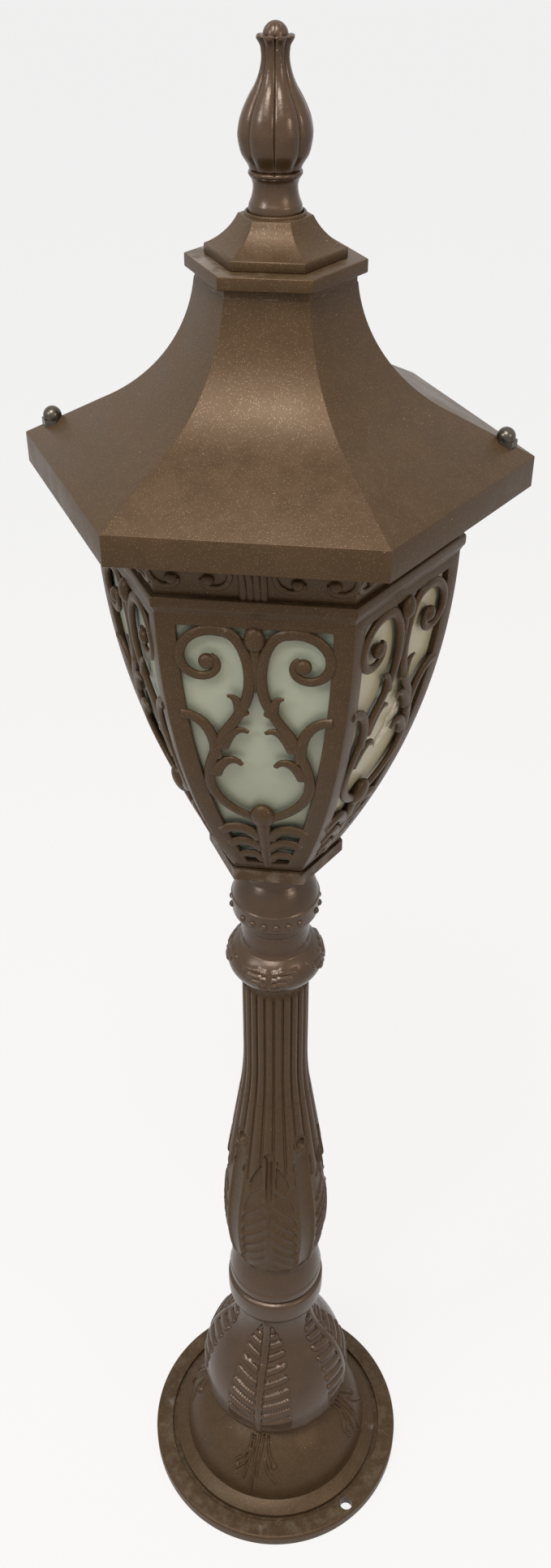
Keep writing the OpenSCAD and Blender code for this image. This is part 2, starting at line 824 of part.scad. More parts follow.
module cornice_ring() {
    color(bronze)
        difference() {
            union() {
                six_sided(3 * cornice_top_r)
                    mirrored(concat([[cornice_face_r, cage_top_z]], cove, [[cove_top_r, cove_z + 1]]));
                hex_prism(cornice_top_r, cove_z, cornice_top_z);
            }
            hex_prism(cage_mouth_r, cage_top_z - 1, cage_top_z + floor_t + 1);
            six_sided(3 * cornice_top_r)
                mirrored([[cornice_face_r - cornice_wall, cage_top_z + floor_t],
                          [cornice_face_r - cornice_wall + 2, cage_top_z + 14],
                          [flange_mouth, cove_z],
                          [flange_mouth, cornice_top_z + 1]]);
            cornice_screw_places()
                disc(screw_d / 2 + fit, cage_top_z - 1, cage_top_z + floor_t + 1);
            stud_places()
                disc(stud_d / 2, cove_z - 1, cornice_top_z + 1);
        }
}

// Round-headed screw, its head's seat at z
module pan_screw(z, grip) {
    disc(screw_d / 2 - fit / 4, z - grip, z);
    intersection() {
        translate([0, 0, z - screw_d * 0.35])
            sphere(r = screw_d, $fn = 32);
        disc(screw_d, z, z + screw_d);
    }
}

module cornice_screws() {
    color(steel)
        cornice_screw_places()
            pan_screw(cage_top_z + floor_t, floor_t + mouth_plate);
}

module cage_screws() {
    color(steel)
        cage_screw_places()
            pan_screw(cage_z + foot_plate, foot_plate + tray_floor);
}

// Roof

eave_face_r = eave_r * face_ratio;
neck_face_r = roof_neck_r * face_ratio;
slab_z = roof_top_z - collar_slab_t;
roof_knee = 2;
arc_start = roof_slope - roof_knee;
arc_end = 84;
neck_step = 0.4;
roof_arc_c = [neck_face_r + neck_step + roof_arc * sin(arc_end), slab_z - 4.4 + roof_arc * cos(arc_end)];
neck_z = roof_arc_c[1] - roof_arc * cos(arc_end);
roof_ceiling = neck_z - 2;
nut_seat_z = eave_z + nut_seat;
ledge_face_r = 104;
stud_boss_r = 7;

module stud_places() {
    for (x = [-stud_r, stud_r])
        translate([x, 0, 0])
            children();
}

// End of the roof's slope, with its surface set in by a wall
function slope_end(wall) = roof_arc_c - (roof_arc + wall) * [sin(arc_start), cos(arc_start)];
function slope_z(wall, x) = slope_end(wall)[1] - (x - slope_end(wall)[0]) * tan(roof_slope);

module roof_profile(wall, reach, z0, z1) {
    difference() {
        mirrored([[reach, z0], [reach, slope_z(wall, reach)], slope_end(wall), [slope_end(wall)[0], z1]]);
        both_sides()
            translate(roof_arc_c)
                circle(r = roof_arc + wall, $fn = smooth);
    }
}

module roof_shell() {
    color(bronze)
        difference() {
            union() {
                difference() {
                    six_sided(3 * eave_r)
                        roof_profile(0, eave_face_r, eave_z, neck_z);
                    six_sided(3 * eave_r)
                        roof_profile(roof_wall, ledge_face_r, cornice_top_z - 1, roof_ceiling);
                    hex_prism(cornice_top_r + fit, eave_z - 1, cornice_top_z);
                }
                hex_prism(roof_neck_r, roof_ceiling, slab_z + 1);
                hex_prism(collar_slab_r, slab_z, roof_top_z);
                stud_places()
                    disc(stud_boss_r, cornice_top_z, nut_seat_z);
            }
            stud_places() {
                disc(stud_boss_r + 1.5, nut_seat_z, nut_seat_z + 20);
                disc(stud_d / 2 + fit, cornice_top_z - 1, nut_seat_z + 1);
            }
            disc(finial_stud_d / 2 + fit, roof_ceiling - 1, roof_top_z + 1);
        }
}

washer_t = 1.2;
cap_nut_flats = stud_d + 4;

module roof_studs() {
    color(steel)
        stud_places()
            disc(stud_d / 2 - fit / 4, cove_z - 1, nut_seat_z + washer_t + stud_d);
}

module roof_washers() {
    color(steel)
        stud_places()
            ring(stud_d, stud_d / 2 + fit, nut_seat_z, nut_seat_z + washer_t);
}

module roof_cap_nuts() {
    nut_z = nut_seat_z + washer_t;
    dome = cap_nut_flats / 2 - 0.25;
    color(steel)
        stud_places()
            difference() {
                union() {
                    hex_prism(cap_nut_flats / 2 / face_ratio, nut_z, nut_z + stud_d);
                    disc(dome, nut_z, nut_z + stud_d + 1.2);
                    translate([0, 0, nut_z + stud_d + 1.2])
                        sphere(r = dome);
                }
                disc(stud_d / 2, nut_z - 1, nut_z + stud_d + 1);
                disc(dome + 1, nut_z - 8, nut_z);
            }
}

// Crown cap and finial

crown_face_r = crown_r * face_ratio;
crown_wall = 3;
crown_slope = curve([[crown_face_r, roof_top_z + crown_edge], [crown_face_r - 6, roof_top_z + crown_edge + 1],
                     [crown_lip_r + 2, crown_top_z - 8], [crown_lip_r - 1, crown_top_z - 2]], 6);

module crown_cap() {
    color(bronze)
        difference() {
            union() {
                six_sided(3 * crown_r)
                    mirrored(concat([[crown_face_r, roof_top_z]], crown_slope));
                disc(crown_lip_r, crown_top_z - 5, crown_top_z);
            }
            six_sided(3 * crown_r)
                mirrored([[crown_face_r - crown_wall, roof_top_z - 1],
                          [crown_face_r - crown_wall, roof_top_z + crown_edge - 2],
                          [10, crown_top_z - 11]]);
            disc(crown_lip_r - 1.6, finial_z, crown_top_z + 1);
            disc(finial_stud_d / 2 + fit, roof_top_z, finial_z + 1);
        }
}

finial_foot_r = crown_lip_r - 1.6 - fit;
bulb_low = finial_z + finial_h * 0.273;
bulb_mid = finial_z + finial_h * 0.443;
bulb_high = finial_z + finial_h * 0.704;
tip_neck = finial_z + finial_h * 0.83;
tip_wide = finial_z + finial_h * 0.926;
finial_top = finial_z + finial_h;
lobe_cut = 1.8;
lobe_path_r = finial_r + 0.9;

module finial_outline() {
    polygon(concat(
        [[0, finial_z], [finial_foot_r, finial_z], [finial_foot_r, finial_z + 6.5]],
        curve([[12, finial_z + 7], [10.4, finial_z + 9], [10.2, finial_z + 12], [10.2, finial_z + 14.5]], 5),
        [[11.9, finial_z + 18], [12.2, finial_z + 19.2], [12, bulb_low]],
        curve([[12, bulb_low], [15, bulb_low + 1.5], [finial_r, bulb_mid - 6.4], [finial_r, bulb_mid]], 6),
        curve([[finial_r, bulb_mid], [finial_r, bulb_mid + 9.6], [11, bulb_high - 5.5], [9.2, bulb_high]], 8),
        curve([[9.2, bulb_high], [8, bulb_high + 4], [6.4, tip_neck - 4], [6.4, tip_neck]], 5),
        curve([[6.4, tip_neck], [6.4, tip_neck + 3], [8.2, tip_wide - 2.5], [8.1, tip_wide]], 4),
        curve([[8.1, tip_wide], [7.8, tip_wide + 2.6], [4, finial_top], [0, finial_top]], 5)));
}

module finial() {
    color(bronze_dark)
        difference() {
            rotate_extrude()
                finial_outline();
            for (k = [0:lobes - 1])
                rotate([0, 0, 360 * (k + 0.5) / lobes])
                    translate([0, 0, bulb_mid])
                        rotate([90, 0, 0])
                            rotate([0, 0, -38])
                                rotate_extrude(angle = 84)
                                    translate([lobe_path_r, 0])
                                        circle(r = lobe_cut, $fn = 20);
            disc(finial_stud_d / 2, finial_z - 1, finial_z + 15);
        }
}

finial_nut_t = 6.5;
finial_washer_t = 2;

module finial_stud() {
    color(steel)
        disc(finial_stud_d / 2 - fit / 4, roof_ceiling - finial_washer_t - finial_nut_t - 3, finial_z + 14);
}

module finial_washer() {
    color(steel)
        ring(12, finial_stud_d / 2 + fit, roof_ceiling - finial_washer_t, roof_ceiling);
}

module finial_nut() {
    top = roof_ceiling - finial_washer_t;
    color(steel)
        hex_nut(finial_stud_d + 5, finial_stud_d, top - finial_nut_t, top);
}

// Tie rod and its nuts

rod_nut_t = 6;
rod_washer_t = 2;
lower_seat = base_h - base_top_wall;
rod_foot = lower_seat - rod_washer_t - rod_nut_t - 8;
holder_z = cage_z + rod_washer_t + rod_nut_t;
rod_top = holder_z + 9;

module tie_rod() {
    color(steel)
        ring(rod_d / 2 - fit / 4, rod_bore / 2, rod_foot, rod_top);
}

module rod_washer_lower() {
    color(steel)
        ring(18, rod_d / 2 + fit, lower_seat - rod_washer_t, lower_seat);
}

module rod_nut_lower() {
    top = lower_seat - rod_washer_t;
    color(steel)
        hex_nut(rod_d + 7, rod_d, top - rod_nut_t, top);
}

module rod_washer_upper() {
    color(steel)
        ring(14, rod_d / 2 + fit, cage_z, cage_z + rod_washer_t);
}

module rod_nut_upper() {
    color(steel)
        hex_nut(rod_d + 7, rod_d, cage_z + rod_washer_t, holder_z);
}

module cable_bushing() {
    color("#2b2b2b")
        difference() {
            union() {
                disc(rod_d / 2 + 1.5, rod_foot - 2.5, rod_foot);
                disc(rod_bore / 2 - fit, rod_foot - 1, rod_foot + 8);
            }
            disc(rod_bore / 2 - 1.2, rod_foot - 4, rod_foot + 9);
        }
}

// Lamp holder and bulb

cap_h = 12;
body_z = holder_z + cap_h;
socket_floor = body_z + 7;
sleeve_r = 14;
bulb_z = socket_floor + 0.3;
bulb_cap_r = sleeve_r - 0.8;
bulb_cap_l = 26;
bulb_r = bulb_d / 2;
bulb_top = bulb_z + bulb_l;
bulb_centre = bulb_top - bulb_r;
neck_turn = 48;

module holder_cap() {
    color(brass)
        difference() {
            rotate_extrude()
                polygon(concat(
                    [[0, holder_z], [9, holder_z]],
                    curve([[9, holder_z + 2], [12, holder_z + 5], [holder_r - 1, holder_z + 5],
                           [holder_r - 1, holder_z + 9]], 5),
                    [[holder_r - 1, body_z], [0, body_z]]));
            disc(holder_r - 3, holder_z + 9, body_z + 1);
            disc(rod_d / 2, holder_z - 1, holder_z + 10);
        }
}

module lamp_holder() {
    color(porcelain)
        difference() {
            union() {
                disc(holder_r, body_z, body_z + holder_h);
                disc(holder_r - 3 - fit, body_z - 2, body_z + 1);
            }
            disc(sleeve_r + fit, socket_floor, body_z + holder_h + 1);
            disc(3, body_z - 3, socket_floor + 1);
        }
}

module holder_sleeve() {
    color(brass)
        ring(sleeve_r, sleeve_r - 0.6, socket_floor, body_z + holder_h - 1);
}

module bulb() {
    color(porcelain)
        rotate_extrude()
            polygon(concat(
                [[0, bulb_z], [5, bulb_z], [bulb_cap_r, bulb_z + 5], [bulb_cap_r, bulb_z + bulb_cap_l]],
                curve([[bulb_cap_r + 1, bulb_z + bulb_cap_l], [bulb_cap_r + 2, bulb_z + bulb_cap_l + 14],
                       [bulb_r * 0.8, bulb_centre - bulb_r * 0.95],
                       [bulb_r * cos(neck_turn) + 3, bulb_centre - bulb_r * sin(neck_turn) + 1]], 5),
                arc_pts([0, bulb_centre], bulb_r, -36, 90, 12)));
}

base_casting();
post_shaft();
neck_cup();
lantern_tray();
lantern_cage();
glass_pane(1);  // glass_pane_1
glass_pane(2);  // glass_pane_2
glass_pane(3);  // glass_pane_3
glass_pane(4);  // glass_pane_4
glass_pane(5);  // glass_pane_5
glass_pane(6);  // glass_pane_6
pane_sealant();
cornice_ring();
cornice_screws();
roof_shell();
roof_studs();
roof_washers();
roof_cap_nuts();
crown_cap();
finial();
finial_stud();
finial_washer();
finial_nut();
tie_rod();
rod_washer_lower();
rod_nut_lower();
rod_washer_upper();
rod_nut_upper();
cable_bushing();
cage_screws();
holder_cap();
lamp_holder();
holder_sleeve();
bulb();
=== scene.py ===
"""Garden light: a cast lantern on a fluted post, dressed around its fixed frame."""

import json
import math

import bpy
import numpy as np
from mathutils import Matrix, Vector


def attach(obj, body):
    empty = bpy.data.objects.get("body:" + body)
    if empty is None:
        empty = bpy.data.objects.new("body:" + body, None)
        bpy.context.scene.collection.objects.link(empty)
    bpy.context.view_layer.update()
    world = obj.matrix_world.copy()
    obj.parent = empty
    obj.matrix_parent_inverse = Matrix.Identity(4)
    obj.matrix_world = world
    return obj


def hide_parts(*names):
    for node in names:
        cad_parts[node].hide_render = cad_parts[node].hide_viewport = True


bl_info = {
    "name": "Garden light",
    "version": (1, 0, 0),
    "blender": (4, 5, 0),
    "location": "View3D > Sidebar > Garden light",
    "description": "Cast garden light with a pierced lantern, a fluted post and a round base",
    "category": "Object",
}

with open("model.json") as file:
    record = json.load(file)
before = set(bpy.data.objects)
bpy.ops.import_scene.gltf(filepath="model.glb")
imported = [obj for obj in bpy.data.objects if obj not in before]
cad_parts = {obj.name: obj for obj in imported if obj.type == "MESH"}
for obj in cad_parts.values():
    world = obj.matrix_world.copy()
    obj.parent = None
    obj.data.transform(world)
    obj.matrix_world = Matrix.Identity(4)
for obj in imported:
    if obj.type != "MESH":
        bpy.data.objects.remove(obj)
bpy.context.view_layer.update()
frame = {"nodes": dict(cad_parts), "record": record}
MM = 0.001


# Sizes and colours

def length(name, default, text):
    return bpy.props.FloatProperty(name=name, description=text, default=default, unit="LENGTH",
                                   precision=4)


def colour(name, default, text):
    return bpy.props.FloatVectorProperty(name=name, description=text, default=default, size=3,
                                         subtype="COLOR", min=0, max=1)


def count(name, default, text):
    return bpy.props.IntProperty(name=name, description=text, default=default, min=1)


def number(name, default, text):
    return bpy.props.FloatProperty(name=name, description=text, default=default)


class CoatSettings(bpy.types.PropertyGroup):
    """Colours of the cast parts"""
    bronze: colour("Bronze", (0.072, 0.042, 0.020), "Satin bronze coat of the castings")
    dark: colour("Dark bronze", (0.068, 0.037, 0.018), "Glossier coat: bell, vase, cup, finial")
    dust: colour("Dust", (0.22, 0.18, 0.125), "Dust that lies on what faces up")
    worn: colour("Worn edge", (0.42, 0.37, 0.31), "Thin bright wear along the edges")
    fleck: colour("Fleck", (0.42, 0.30, 0.20), "Metal flecks that sparkle in the coat")


class GlassSettings(bpy.types.PropertyGroup):
    """Colours of the panes"""
    pane: colour("Pane", (0.36, 0.385, 0.285), "Frosted panes")
    # Pane colour with painted sunlight: a warmer copy of the pane colour for the panes that face
    # the sun.
    painted_sunlit_pane: colour("Pane with painted sunlight", (0.47, 0.43, 0.29), "Panes that face the sun")
    sealant: colour("Sealant", (0.62, 0.57, 0.44), "Cured sealant")


class PostSettings(bpy.types.PropertyGroup):
    """Sizes of the ornament on the post"""
    flutes: count("Flutes", 22, "Number of flutes round the shaft")
    flute_depth: length("Flute depth", 0.0020, "Depth of the flutes")
    leaves: count("Leaves", 4, "Number of leaves round the belly")
    leaf_turn: number("Leaf turn", -91, "Direction of the front leaf, in degrees")
    leaf_relief: length("Leaf relief", 0.0020, "Height of the carved leaves")


class BaseSettings(bpy.types.PropertyGroup):
    """Sizes of the ornament on the base"""
    leaves: count("Leaves", 4, "Number of leaves round the bell")
    leaf_turn: number("Leaf turn", -97, "Direction of the front leaf, in degrees")
    leaf_relief: length("Leaf relief", 0.0019, "Height of the leaves on the bell")
    plume_relief: length("Plume relief", 0.0021, "Height of the plumes on the dome")


class CageSettings(bpy.types.PropertyGroup):
    """Sizes of the pierced scrollwork"""
    stem_width: length("Stem width", 0.0060, "Width of a scroll's stem")
    stem_depth: length("Stem depth", 0.0036, "Depth of a scroll's stem")
    crest: length("Crest", 0.0012, "How far the stems stand proud of the lantern's side")


class StageSettings(bpy.types.PropertyGroup):
    """Camera and light"""
    lens: number("Lens", 30.49, "Focal length of the camera in millimetres")
    floor: colour("Floor", (0.74, 0.68, 0.60), "Plain pale floor")
    sky: colour("Sky", (0.86, 0.90, 1.0), "Light from all round")
    sky_strength: number("Sky strength", 0.33, "Strength of the light from all round")


SETTINGS = {"coat": CoatSettings, "glass": GlassSettings, "post": PostSettings,
            "base": BaseSettings, "cage": CageSettings, "stage": StageSettings}


def setting(group):
    return getattr(bpy.context.scene, "garden_light_" + group)


# Shader maths

class Value:
    """A shader socket that takes part in Python expressions"""

    def __init__(self, maker, socket):
        self.maker, self.socket = maker, socket

    def math(self, operation, other, clamp=False):
        return self.maker.node("ShaderNodeMath", {"operation": operation, "use_clamp": clamp},
                               {0: self, 1: other})

    def __add__(self, other):
        return self.math("ADD", other)

    def __sub__(self, other):
        return self.math("SUBTRACT", other)

    def __rsub__(self, other):
        return self.maker.node("ShaderNodeMath", {"operation": "SUBTRACT"}, {0: other, 1: self})

    def __mul__(self, other):
        return self.math("MULTIPLY", other)

    __radd__ = __add__
    __rmul__ = __mul__

    def between(self, low, high):
        """0 below low and 1 above high, with a soft change between them"""
        return self.maker.node("ShaderNodeMapRange",
                               {"interpolation_type": "SMOOTHSTEP", "clamp": True},
                               {0: self, 1: low, 2: high})


def shown_rays(maker):
    """1 for the rays that show the background: from the camera, a reflection or glass"""
    kinds = [maker.node("ShaderNodeLightPath", output=name)
             for name in ("Is Camera Ray", "Is Glossy Ray", "Is Transmission Ray")]
    return (kinds[0] + kinds[1]).math("ADD", kinds[2], clamp=True)


class Finish:
    """One material, and the node maker for it"""

    def __init__(self, name):
        self.material = bpy.data.materials.new(name)
        self.material.use_nodes = True
        self.tree = self.material.node_tree
        self.shader = self.tree.nodes["Principled BSDF"]

    def node(self, kind, settings=None, sockets=None, output=0):
        n = self.tree.nodes.new(kind)
        for key, value in (settings or {}).items():
            setattr(n, key, value)
        for key, value in (sockets or {}).items():
            self.link(value, n.inputs[key])
        return Value(self, n.outputs[output])

    def link(self, value, socket):
        if isinstance(value, Value):
            self.tree.links.new(value.socket, socket)
        else:
            socket.default_value = value

    def place(self):
        return self.node("ShaderNodeTexCoord", output="Object")

    def noise(self, scale, detail=3.0, roughness=0.55):
        return self.node("ShaderNodeTexNoise", {}, {"Vector": self.place(), "Scale": scale,
                                                    "Detail": detail, "Roughness": roughness})

    def cells(self, scale):
        return self.node("ShaderNodeTexVoronoi", {}, {"Vector": self.place(), "Scale": scale})

    def mix(self, factor, a, b):
        return self.node("ShaderNodeMix", {"data_type": "RGBA"}, {0: factor, 6: a, 7: b},
                         output=2)

    def facing_up(self):
        normal = self.node("ShaderNodeTexCoord", output="Normal")
        return self.node("ShaderNodeSeparateXYZ", {}, {0: normal}, output=2)

    def height(self):
        return self.node("ShaderNodeSeparateXYZ", {}, {0: self.place()}, output=2)

    def sharpness(self):
        return self.node("ShaderNodeNewGeometry", output="Pointiness")

    def bump(self, height, strength, distance):
        return self.node("ShaderNodeBump", {}, {"Height": height, "Strength": strength,
                                                "Distance": distance})

    def seen_white(self, share):
        """Shows a share of plain white in place of the material"""
        seen = shown_rays(self) * share
        white = self.node("ShaderNodeEmission", {}, {"Color": (1, 1, 1, 1)})
        self.show(seen, white, "Material Output")

    def show(self, factor, other, output):
        """Mixes another shader over this one and links the result to the output"""
        own = Value(self, self.shader.outputs[0])
        mixed = self.node("ShaderNodeMixShader", {}, {0: factor, 1: own, 2: other})
        self.link(mixed, self.tree.nodes[output].inputs["Surface"])

    def set(self, **sockets):
        for key, value in sockets.items():
            self.link(value, self.shader.inputs[key.replace("_", " ")])
        return self.material


class Background(Finish):
    """The world, which is plain white where it shows"""

    def __init__(self, tree):
        self.material, self.tree = None, tree
        self.shader = tree.nodes["Background"]

    def light_up(self, sky, strength):
        self.set(Color=rgba(sky), Strength=strength)
        white = self.node("ShaderNodeBackground", {}, {"Color": (1, 1, 1, 1)})
        self.show(shown_rays(self), white, "World Output")


def rgba(c, k=1.0):
    return (c[0] * k, c[1] * k, c[2] * k, 1.0)


def coat_finish(name, body, gloss, shine, dust_amount, sparkle):
    """Metallic coat with mottling, sparkle, pale specks, dust on what faces up and worn edges"""
    coat = setting("coat")
    f = Finish(name)
    mottle = f.noise(60, 5, 0.65).between(0.30, 0.72)
    base = f.mix(mottle, rgba(body, 0.92), rgba(body, 1.08))
    fleck = 1 - f.cells(1100).between(0.02, 0.25)
    base = f.mix(fleck * sparkle, base, rgba(coat.fleck))
    up = f.facing_up()
    film = f.noise(120, 5, 0.7).between(0.40, 0.75)
    dust = (up.between(0.45, 0.90) * 0.06 + up.between(0.95, 0.998) * 0.40) * film * dust_amount
    base = f.mix(dust, base, rgba(coat.dust))
    edge = f.sharpness().between(0.55, 0.66) * f.noise(90, 3).between(0.42, 0.60)
    base = f.mix(edge * 0.28, base, rgba(coat.worn))
    speck = (1 - f.cells(210).between(0.03, 0.08)) * f.noise(40, 2).between(0.55, 0.62)
    base = f.mix(speck * 0.6, base, rgba(coat.worn, 1.2))
    rough = gloss + dust * 0.35 + mottle * 0.10 - edge * 0.08
    grain = f.noise(650, 2) * 0.6 + f.noise(130, 3) * 0.4
    return f.set(Base_Color=base, Roughness=rough, Metallic=0.25 + fleck * 0.3,
                 Specular_IOR_Level=shine, Normal=f.bump(grain, 0.25, 0.0004))


def glass_finish(name, body):
    """Frosted pane, a little paler towards its top and unevenly dusty"""
    f = Finish(name)
    rise = f.height().between(0.70, 0.91)
    smear = f.noise(16, 4, 0.65).between(0.35, 0.75)
    base = f.mix(rise, rgba(body, 0.80), rgba(body, 1.06))
    base = f.mix(smear * 0.30, base, rgba(body, 1.35))
    grain = f.noise(900, 2)
    return f.set(Base_Color=base, Roughness=0.38 + smear * 0.2, Normal=f.bump(grain, 0.15, 0.0003),
                 Coat_Weight=0.25, Coat_Roughness=0.2)


def plain_finish(name, body, rough, metallic, variation=0.25, grain=300):
    """Small metal, rubber or ceramic parts with a faint mottling"""
    f = Finish(name)
    blot = f.noise(grain, 3).between(0.3, 0.7)
    base = f.mix(blot, rgba(body, 1 - variation), rgba(body, 1 + variation))
    return f.set(Base_Color=base, Roughness=rough + blot * 0.12, Metallic=metallic,
                 Normal=f.bump(blot, 0.1, 0.0002))


def finishes():
    coat, glass = setting("coat"), setting("glass")
    return {
        "bronze_coat": coat_finish("bronze coat", coat.bronze, 0.37, 0.17, 0.6, 0.6),
        "dark_coat": coat_finish("dark bronze coat", coat.dark, 0.24, 0.42, 0.3, 0.25),
        "frosted_glass": glass_finish("frosted glass", glass.pane),
        # Frosted glass with painted sunlight: the same glass in the warmer pane colour.
        "painted_sunlit_glass": glass_finish("frosted glass with painted sunlight", glass.painted_sunlit_pane),
        "sealant": plain_finish("cured sealant", glass.sealant, 0.5, 0.0),
        "screw_steel": plain_finish("zinc plate", (0.45, 0.45, 0.46), 0.35, 0.9),
        "dark_nickel": plain_finish("dulled nickel", (0.075, 0.065, 0.050), 0.22, 0.8),
        "black_rubber": plain_finish("black rubber", (0.02, 0.02, 0.02), 0.7, 0.0),
        "holder_brass": plain_finish("dull brass", (0.60, 0.45, 0.20), 0.35, 0.9),
        "porcelain": plain_finish("glazed porcelain", (0.78, 0.76, 0.70), 0.15, 0.0, 0.04, 60),
        "bulb_glass": plain_finish("opal glass", (0.82, 0.81, 0.77), 0.2, 0.0, 0.03, 40),
    }


FINISH = {}


# Modelling helpers

def arc(cx, cz, r, a0, a1, n):
    """Points of an arc, from the angle a0 to a1 in degrees"""
    return [(cx + r * math.cos(math.radians(a0 + (a1 - a0) * i / n)),
             cz + r * math.sin(math.radians(a0 + (a1 - a0) * i / n))) for i in range(n + 1)]


def cubic(p0, p1, p2, p3, n):
    """Points of a cubic curve"""
    out = []
    for i in range(n + 1):
        t = i / n
        s = 1 - t
        out.append(tuple(s * s * s * a + 3 * s * s * t * b + 3 * s * t * t * c + t * t * t * d
                         for a, b, c, d in zip(p0, p1, p2, p3)))
    return out


def resample(points, gap):
    """The same line with points no further apart than the gap"""
    out = [points[0]]
    for p, q in zip(points, points[1:]):
        d = math.dist(p, q)
        if d < 1e-6:
            continue
        n = max(1, math.ceil(d / gap))
        out += [tuple(a + (b - a) * i / n for a, b in zip(p, q)) for i in range(1, n + 1)]
    return out


def deselect():
    bpy.ops.object.select_all(action="DESELECT")


def edit(mode="VERT"):
    bpy.ops.object.mode_set(mode="EDIT")
    bpy.ops.mesh.select_mode(type=mode)


def leave_edit():
    bpy.ops.object.mode_set(mode="OBJECT")


def clean_up(name):
    """Merges doubles, turns faces outwards and names the active piece"""
    edit()
    bpy.ops.mesh.select_all(action="SELECT")
    bpy.ops.mesh.remove_doubles(threshold=0.00002)
    bpy.ops.mesh.normals_make_consistent(inside=False)
    leave_edit()
    piece = bpy.context.object
    piece.name = name
    piece.data.name = name
    return piece


def modify(piece, kind, **settings):
    bpy.context.view_layer.objects.active = piece
    m = piece.modifiers.new(kind.lower(), kind)
    for key, value in settings.items():
        setattr(m, key, value)
    bpy.ops.object.modifier_apply(modifier=m.name)


def turned(name, profile, steps, start=0.0, closed=False):
    """Turns a profile of radius and height in millimetres round the axis"""
    deselect()
    c, s = math.cos(start), math.sin(start)
    r0, z0 = profile[0]
    bpy.ops.mesh.primitive_plane_add(size=0.0001, location=(r0 * MM * c, r0 * MM * s, z0 * MM))
    bpy.ops.object.transform_apply(location=True)
    edit()
    bpy.ops.mesh.select_all(action="SELECT")
    bpy.ops.mesh.merge(type="CENTER")
    line = profile + [profile[0]] if closed else profile
    for (ra, za), (rb, zb) in zip(line, line[1:]):
        d = (rb - ra) * MM
        move = (d * c, d * s, (zb - za) * MM)
        bpy.ops.mesh.extrude_region_move(TRANSFORM_OT_translate={"value": move})
    bpy.ops.mesh.select_all(action="SELECT")
    bpy.ops.mesh.spin(steps=steps, angle=2 * math.pi, center=(0, 0, 0), axis=(0, 0, 1))
    leave_edit()
    return clean_up(name)


def coordinates(piece, kind="co"):
    """One row for each of the piece's points"""
    co = np.empty(len(piece.data.vertices) * 3)
    piece.data.vertices.foreach_get(kind, co)
    return co.reshape(-1, 3)


def put_back(piece, co):
    piece.data.vertices.foreach_set("co", co.ravel())
    piece.data.update()


def emboss(piece, relief):
    """Raises the surface by relief(azimuth in degrees, height in mm, radius in mm), in mm"""
    co, normal = coordinates(piece), coordinates(piece, "normal")
    az = np.degrees(np.arctan2(co[:, 1], co[:, 0]))
    r = np.hypot(co[:, 0], co[:, 1]) / MM
    h = relief(az, co[:, 2] / MM, r)
    put_back(piece, co + normal * (h * MM)[:, None])


def pick(piece):
    """Makes the piece the only one selected, and active"""
    deselect()
    piece.select_set(True)
    bpy.context.view_layer.objects.active = piece


def smooth(piece, angle=35):
    pick(piece)
    bpy.ops.object.shade_smooth_by_angle(angle=math.radians(angle))


def dress(piece, finish):
    """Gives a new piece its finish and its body"""
    piece.data.materials.clear()
    piece.data.materials.append(FINISH[finish])
    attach(piece, "root")


def join(name, parts):
    deselect()
    for p in parts:
        p.select_set(True)
    bpy.context.view_layer.objects.active = parts[0]
    bpy.ops.object.join()
    piece = bpy.context.object
    piece.name = name
    piece.data.name = name
    return piece


def copied(piece):
    pick(piece)
    bpy.ops.object.duplicate(linked=False)
    return bpy.context.object


def step(x, low, high):
    """0 at low and 1 at high, with a soft change between them"""
    t = np.clip((x - low) / (high - low), 0, 1)
    return t * t * (3 - 2 * t)


def wave(az, count, phase):
    """Angle from the nearest of count directions, in degrees"""
    pitch = 360.0 / count
    return (az - phase + pitch / 2) % pitch - pitch / 2


def dome_of(distance):
    """Height of a rounded ridge at a distance of 0 to 1 from its middle"""
    return np.sqrt(np.clip(1 - distance * distance, 0, 1))


def strokes(across, up, lines, half):
    """Rounded strokes through points of across and up, all in mm, as heights of 0 to 1"""
    out = np.zeros(len(up))
    for line in lines:
        for (a0, z0), (a1, z1) in zip(line, line[1:]):
            da, dz = a1 - a0, z1 - z0
            t = np.clip(((across - a0) * da + (up - z0) * dz) / (da * da + dz * dz), 0, 1)
            off = np.hypot(across - a0 - t * da, up - z0 - t * dz)
            out = np.maximum(out, dome_of(off / half))
    return out


# Base

# Sizes, profiles of radius and height, and heights in the reliefs are in mm from here on.
BOLT_CIRCLE = 101.5
HOLE_RADIUS = 5.5
DOME_FOOT = 17.5
DOME_CURVE = 60


def plate_profile():
    return [(75.2, 0), (110, 0)] + arc(107.5, 8.5, 2.5, 0, 90, 6) + [
        (95.4, 11), (95.2, 10.8), (95.2, 7.6), (91.1, 7.6), (91.1, 12.3), (90.9, 12.5),
        (80.4, 17.2), (79.6, DOME_FOOT)]


def dome_profile():
    return resample([(80.2, DOME_FOOT)] + arc(20, DOME_FOOT, DOME_CURVE, 2, 65.4, 40), 0.95)


def bell_profile():
    return resample([(44.6, 71.0), (45, 72), (45, 83)] + arc(45, 99, 16, -90, 0, 14)
                    + arc(-31, 112, 92, 0, 37.5, 24)
                    + arc(89.6, 204.5, 60, 217.5, 180, 18) + [(29.6, 214)], 0.95)


def rings_profile():
    lower = cubic((34.2, 220), (38.3, 223), (38.6, 228), (38.6, 234), 8)
    groove = [(38.6, 244.5), (38.2, 246.3), (37.0, 247.4), (34.4, 248.2), (34.1, 249.6),
              (35.6, 251), (36.8, 252.2), (37.1, 254), (37.1, 258.5), (36.8, 260)]
    upper = cubic((36.6, 260.4), (36.0, 266), (34.2, 273), (31.2, 281.5), 10)
    return [(29.6, 213.8)] + lower + groove + upper + [(30.6, 283.4)]


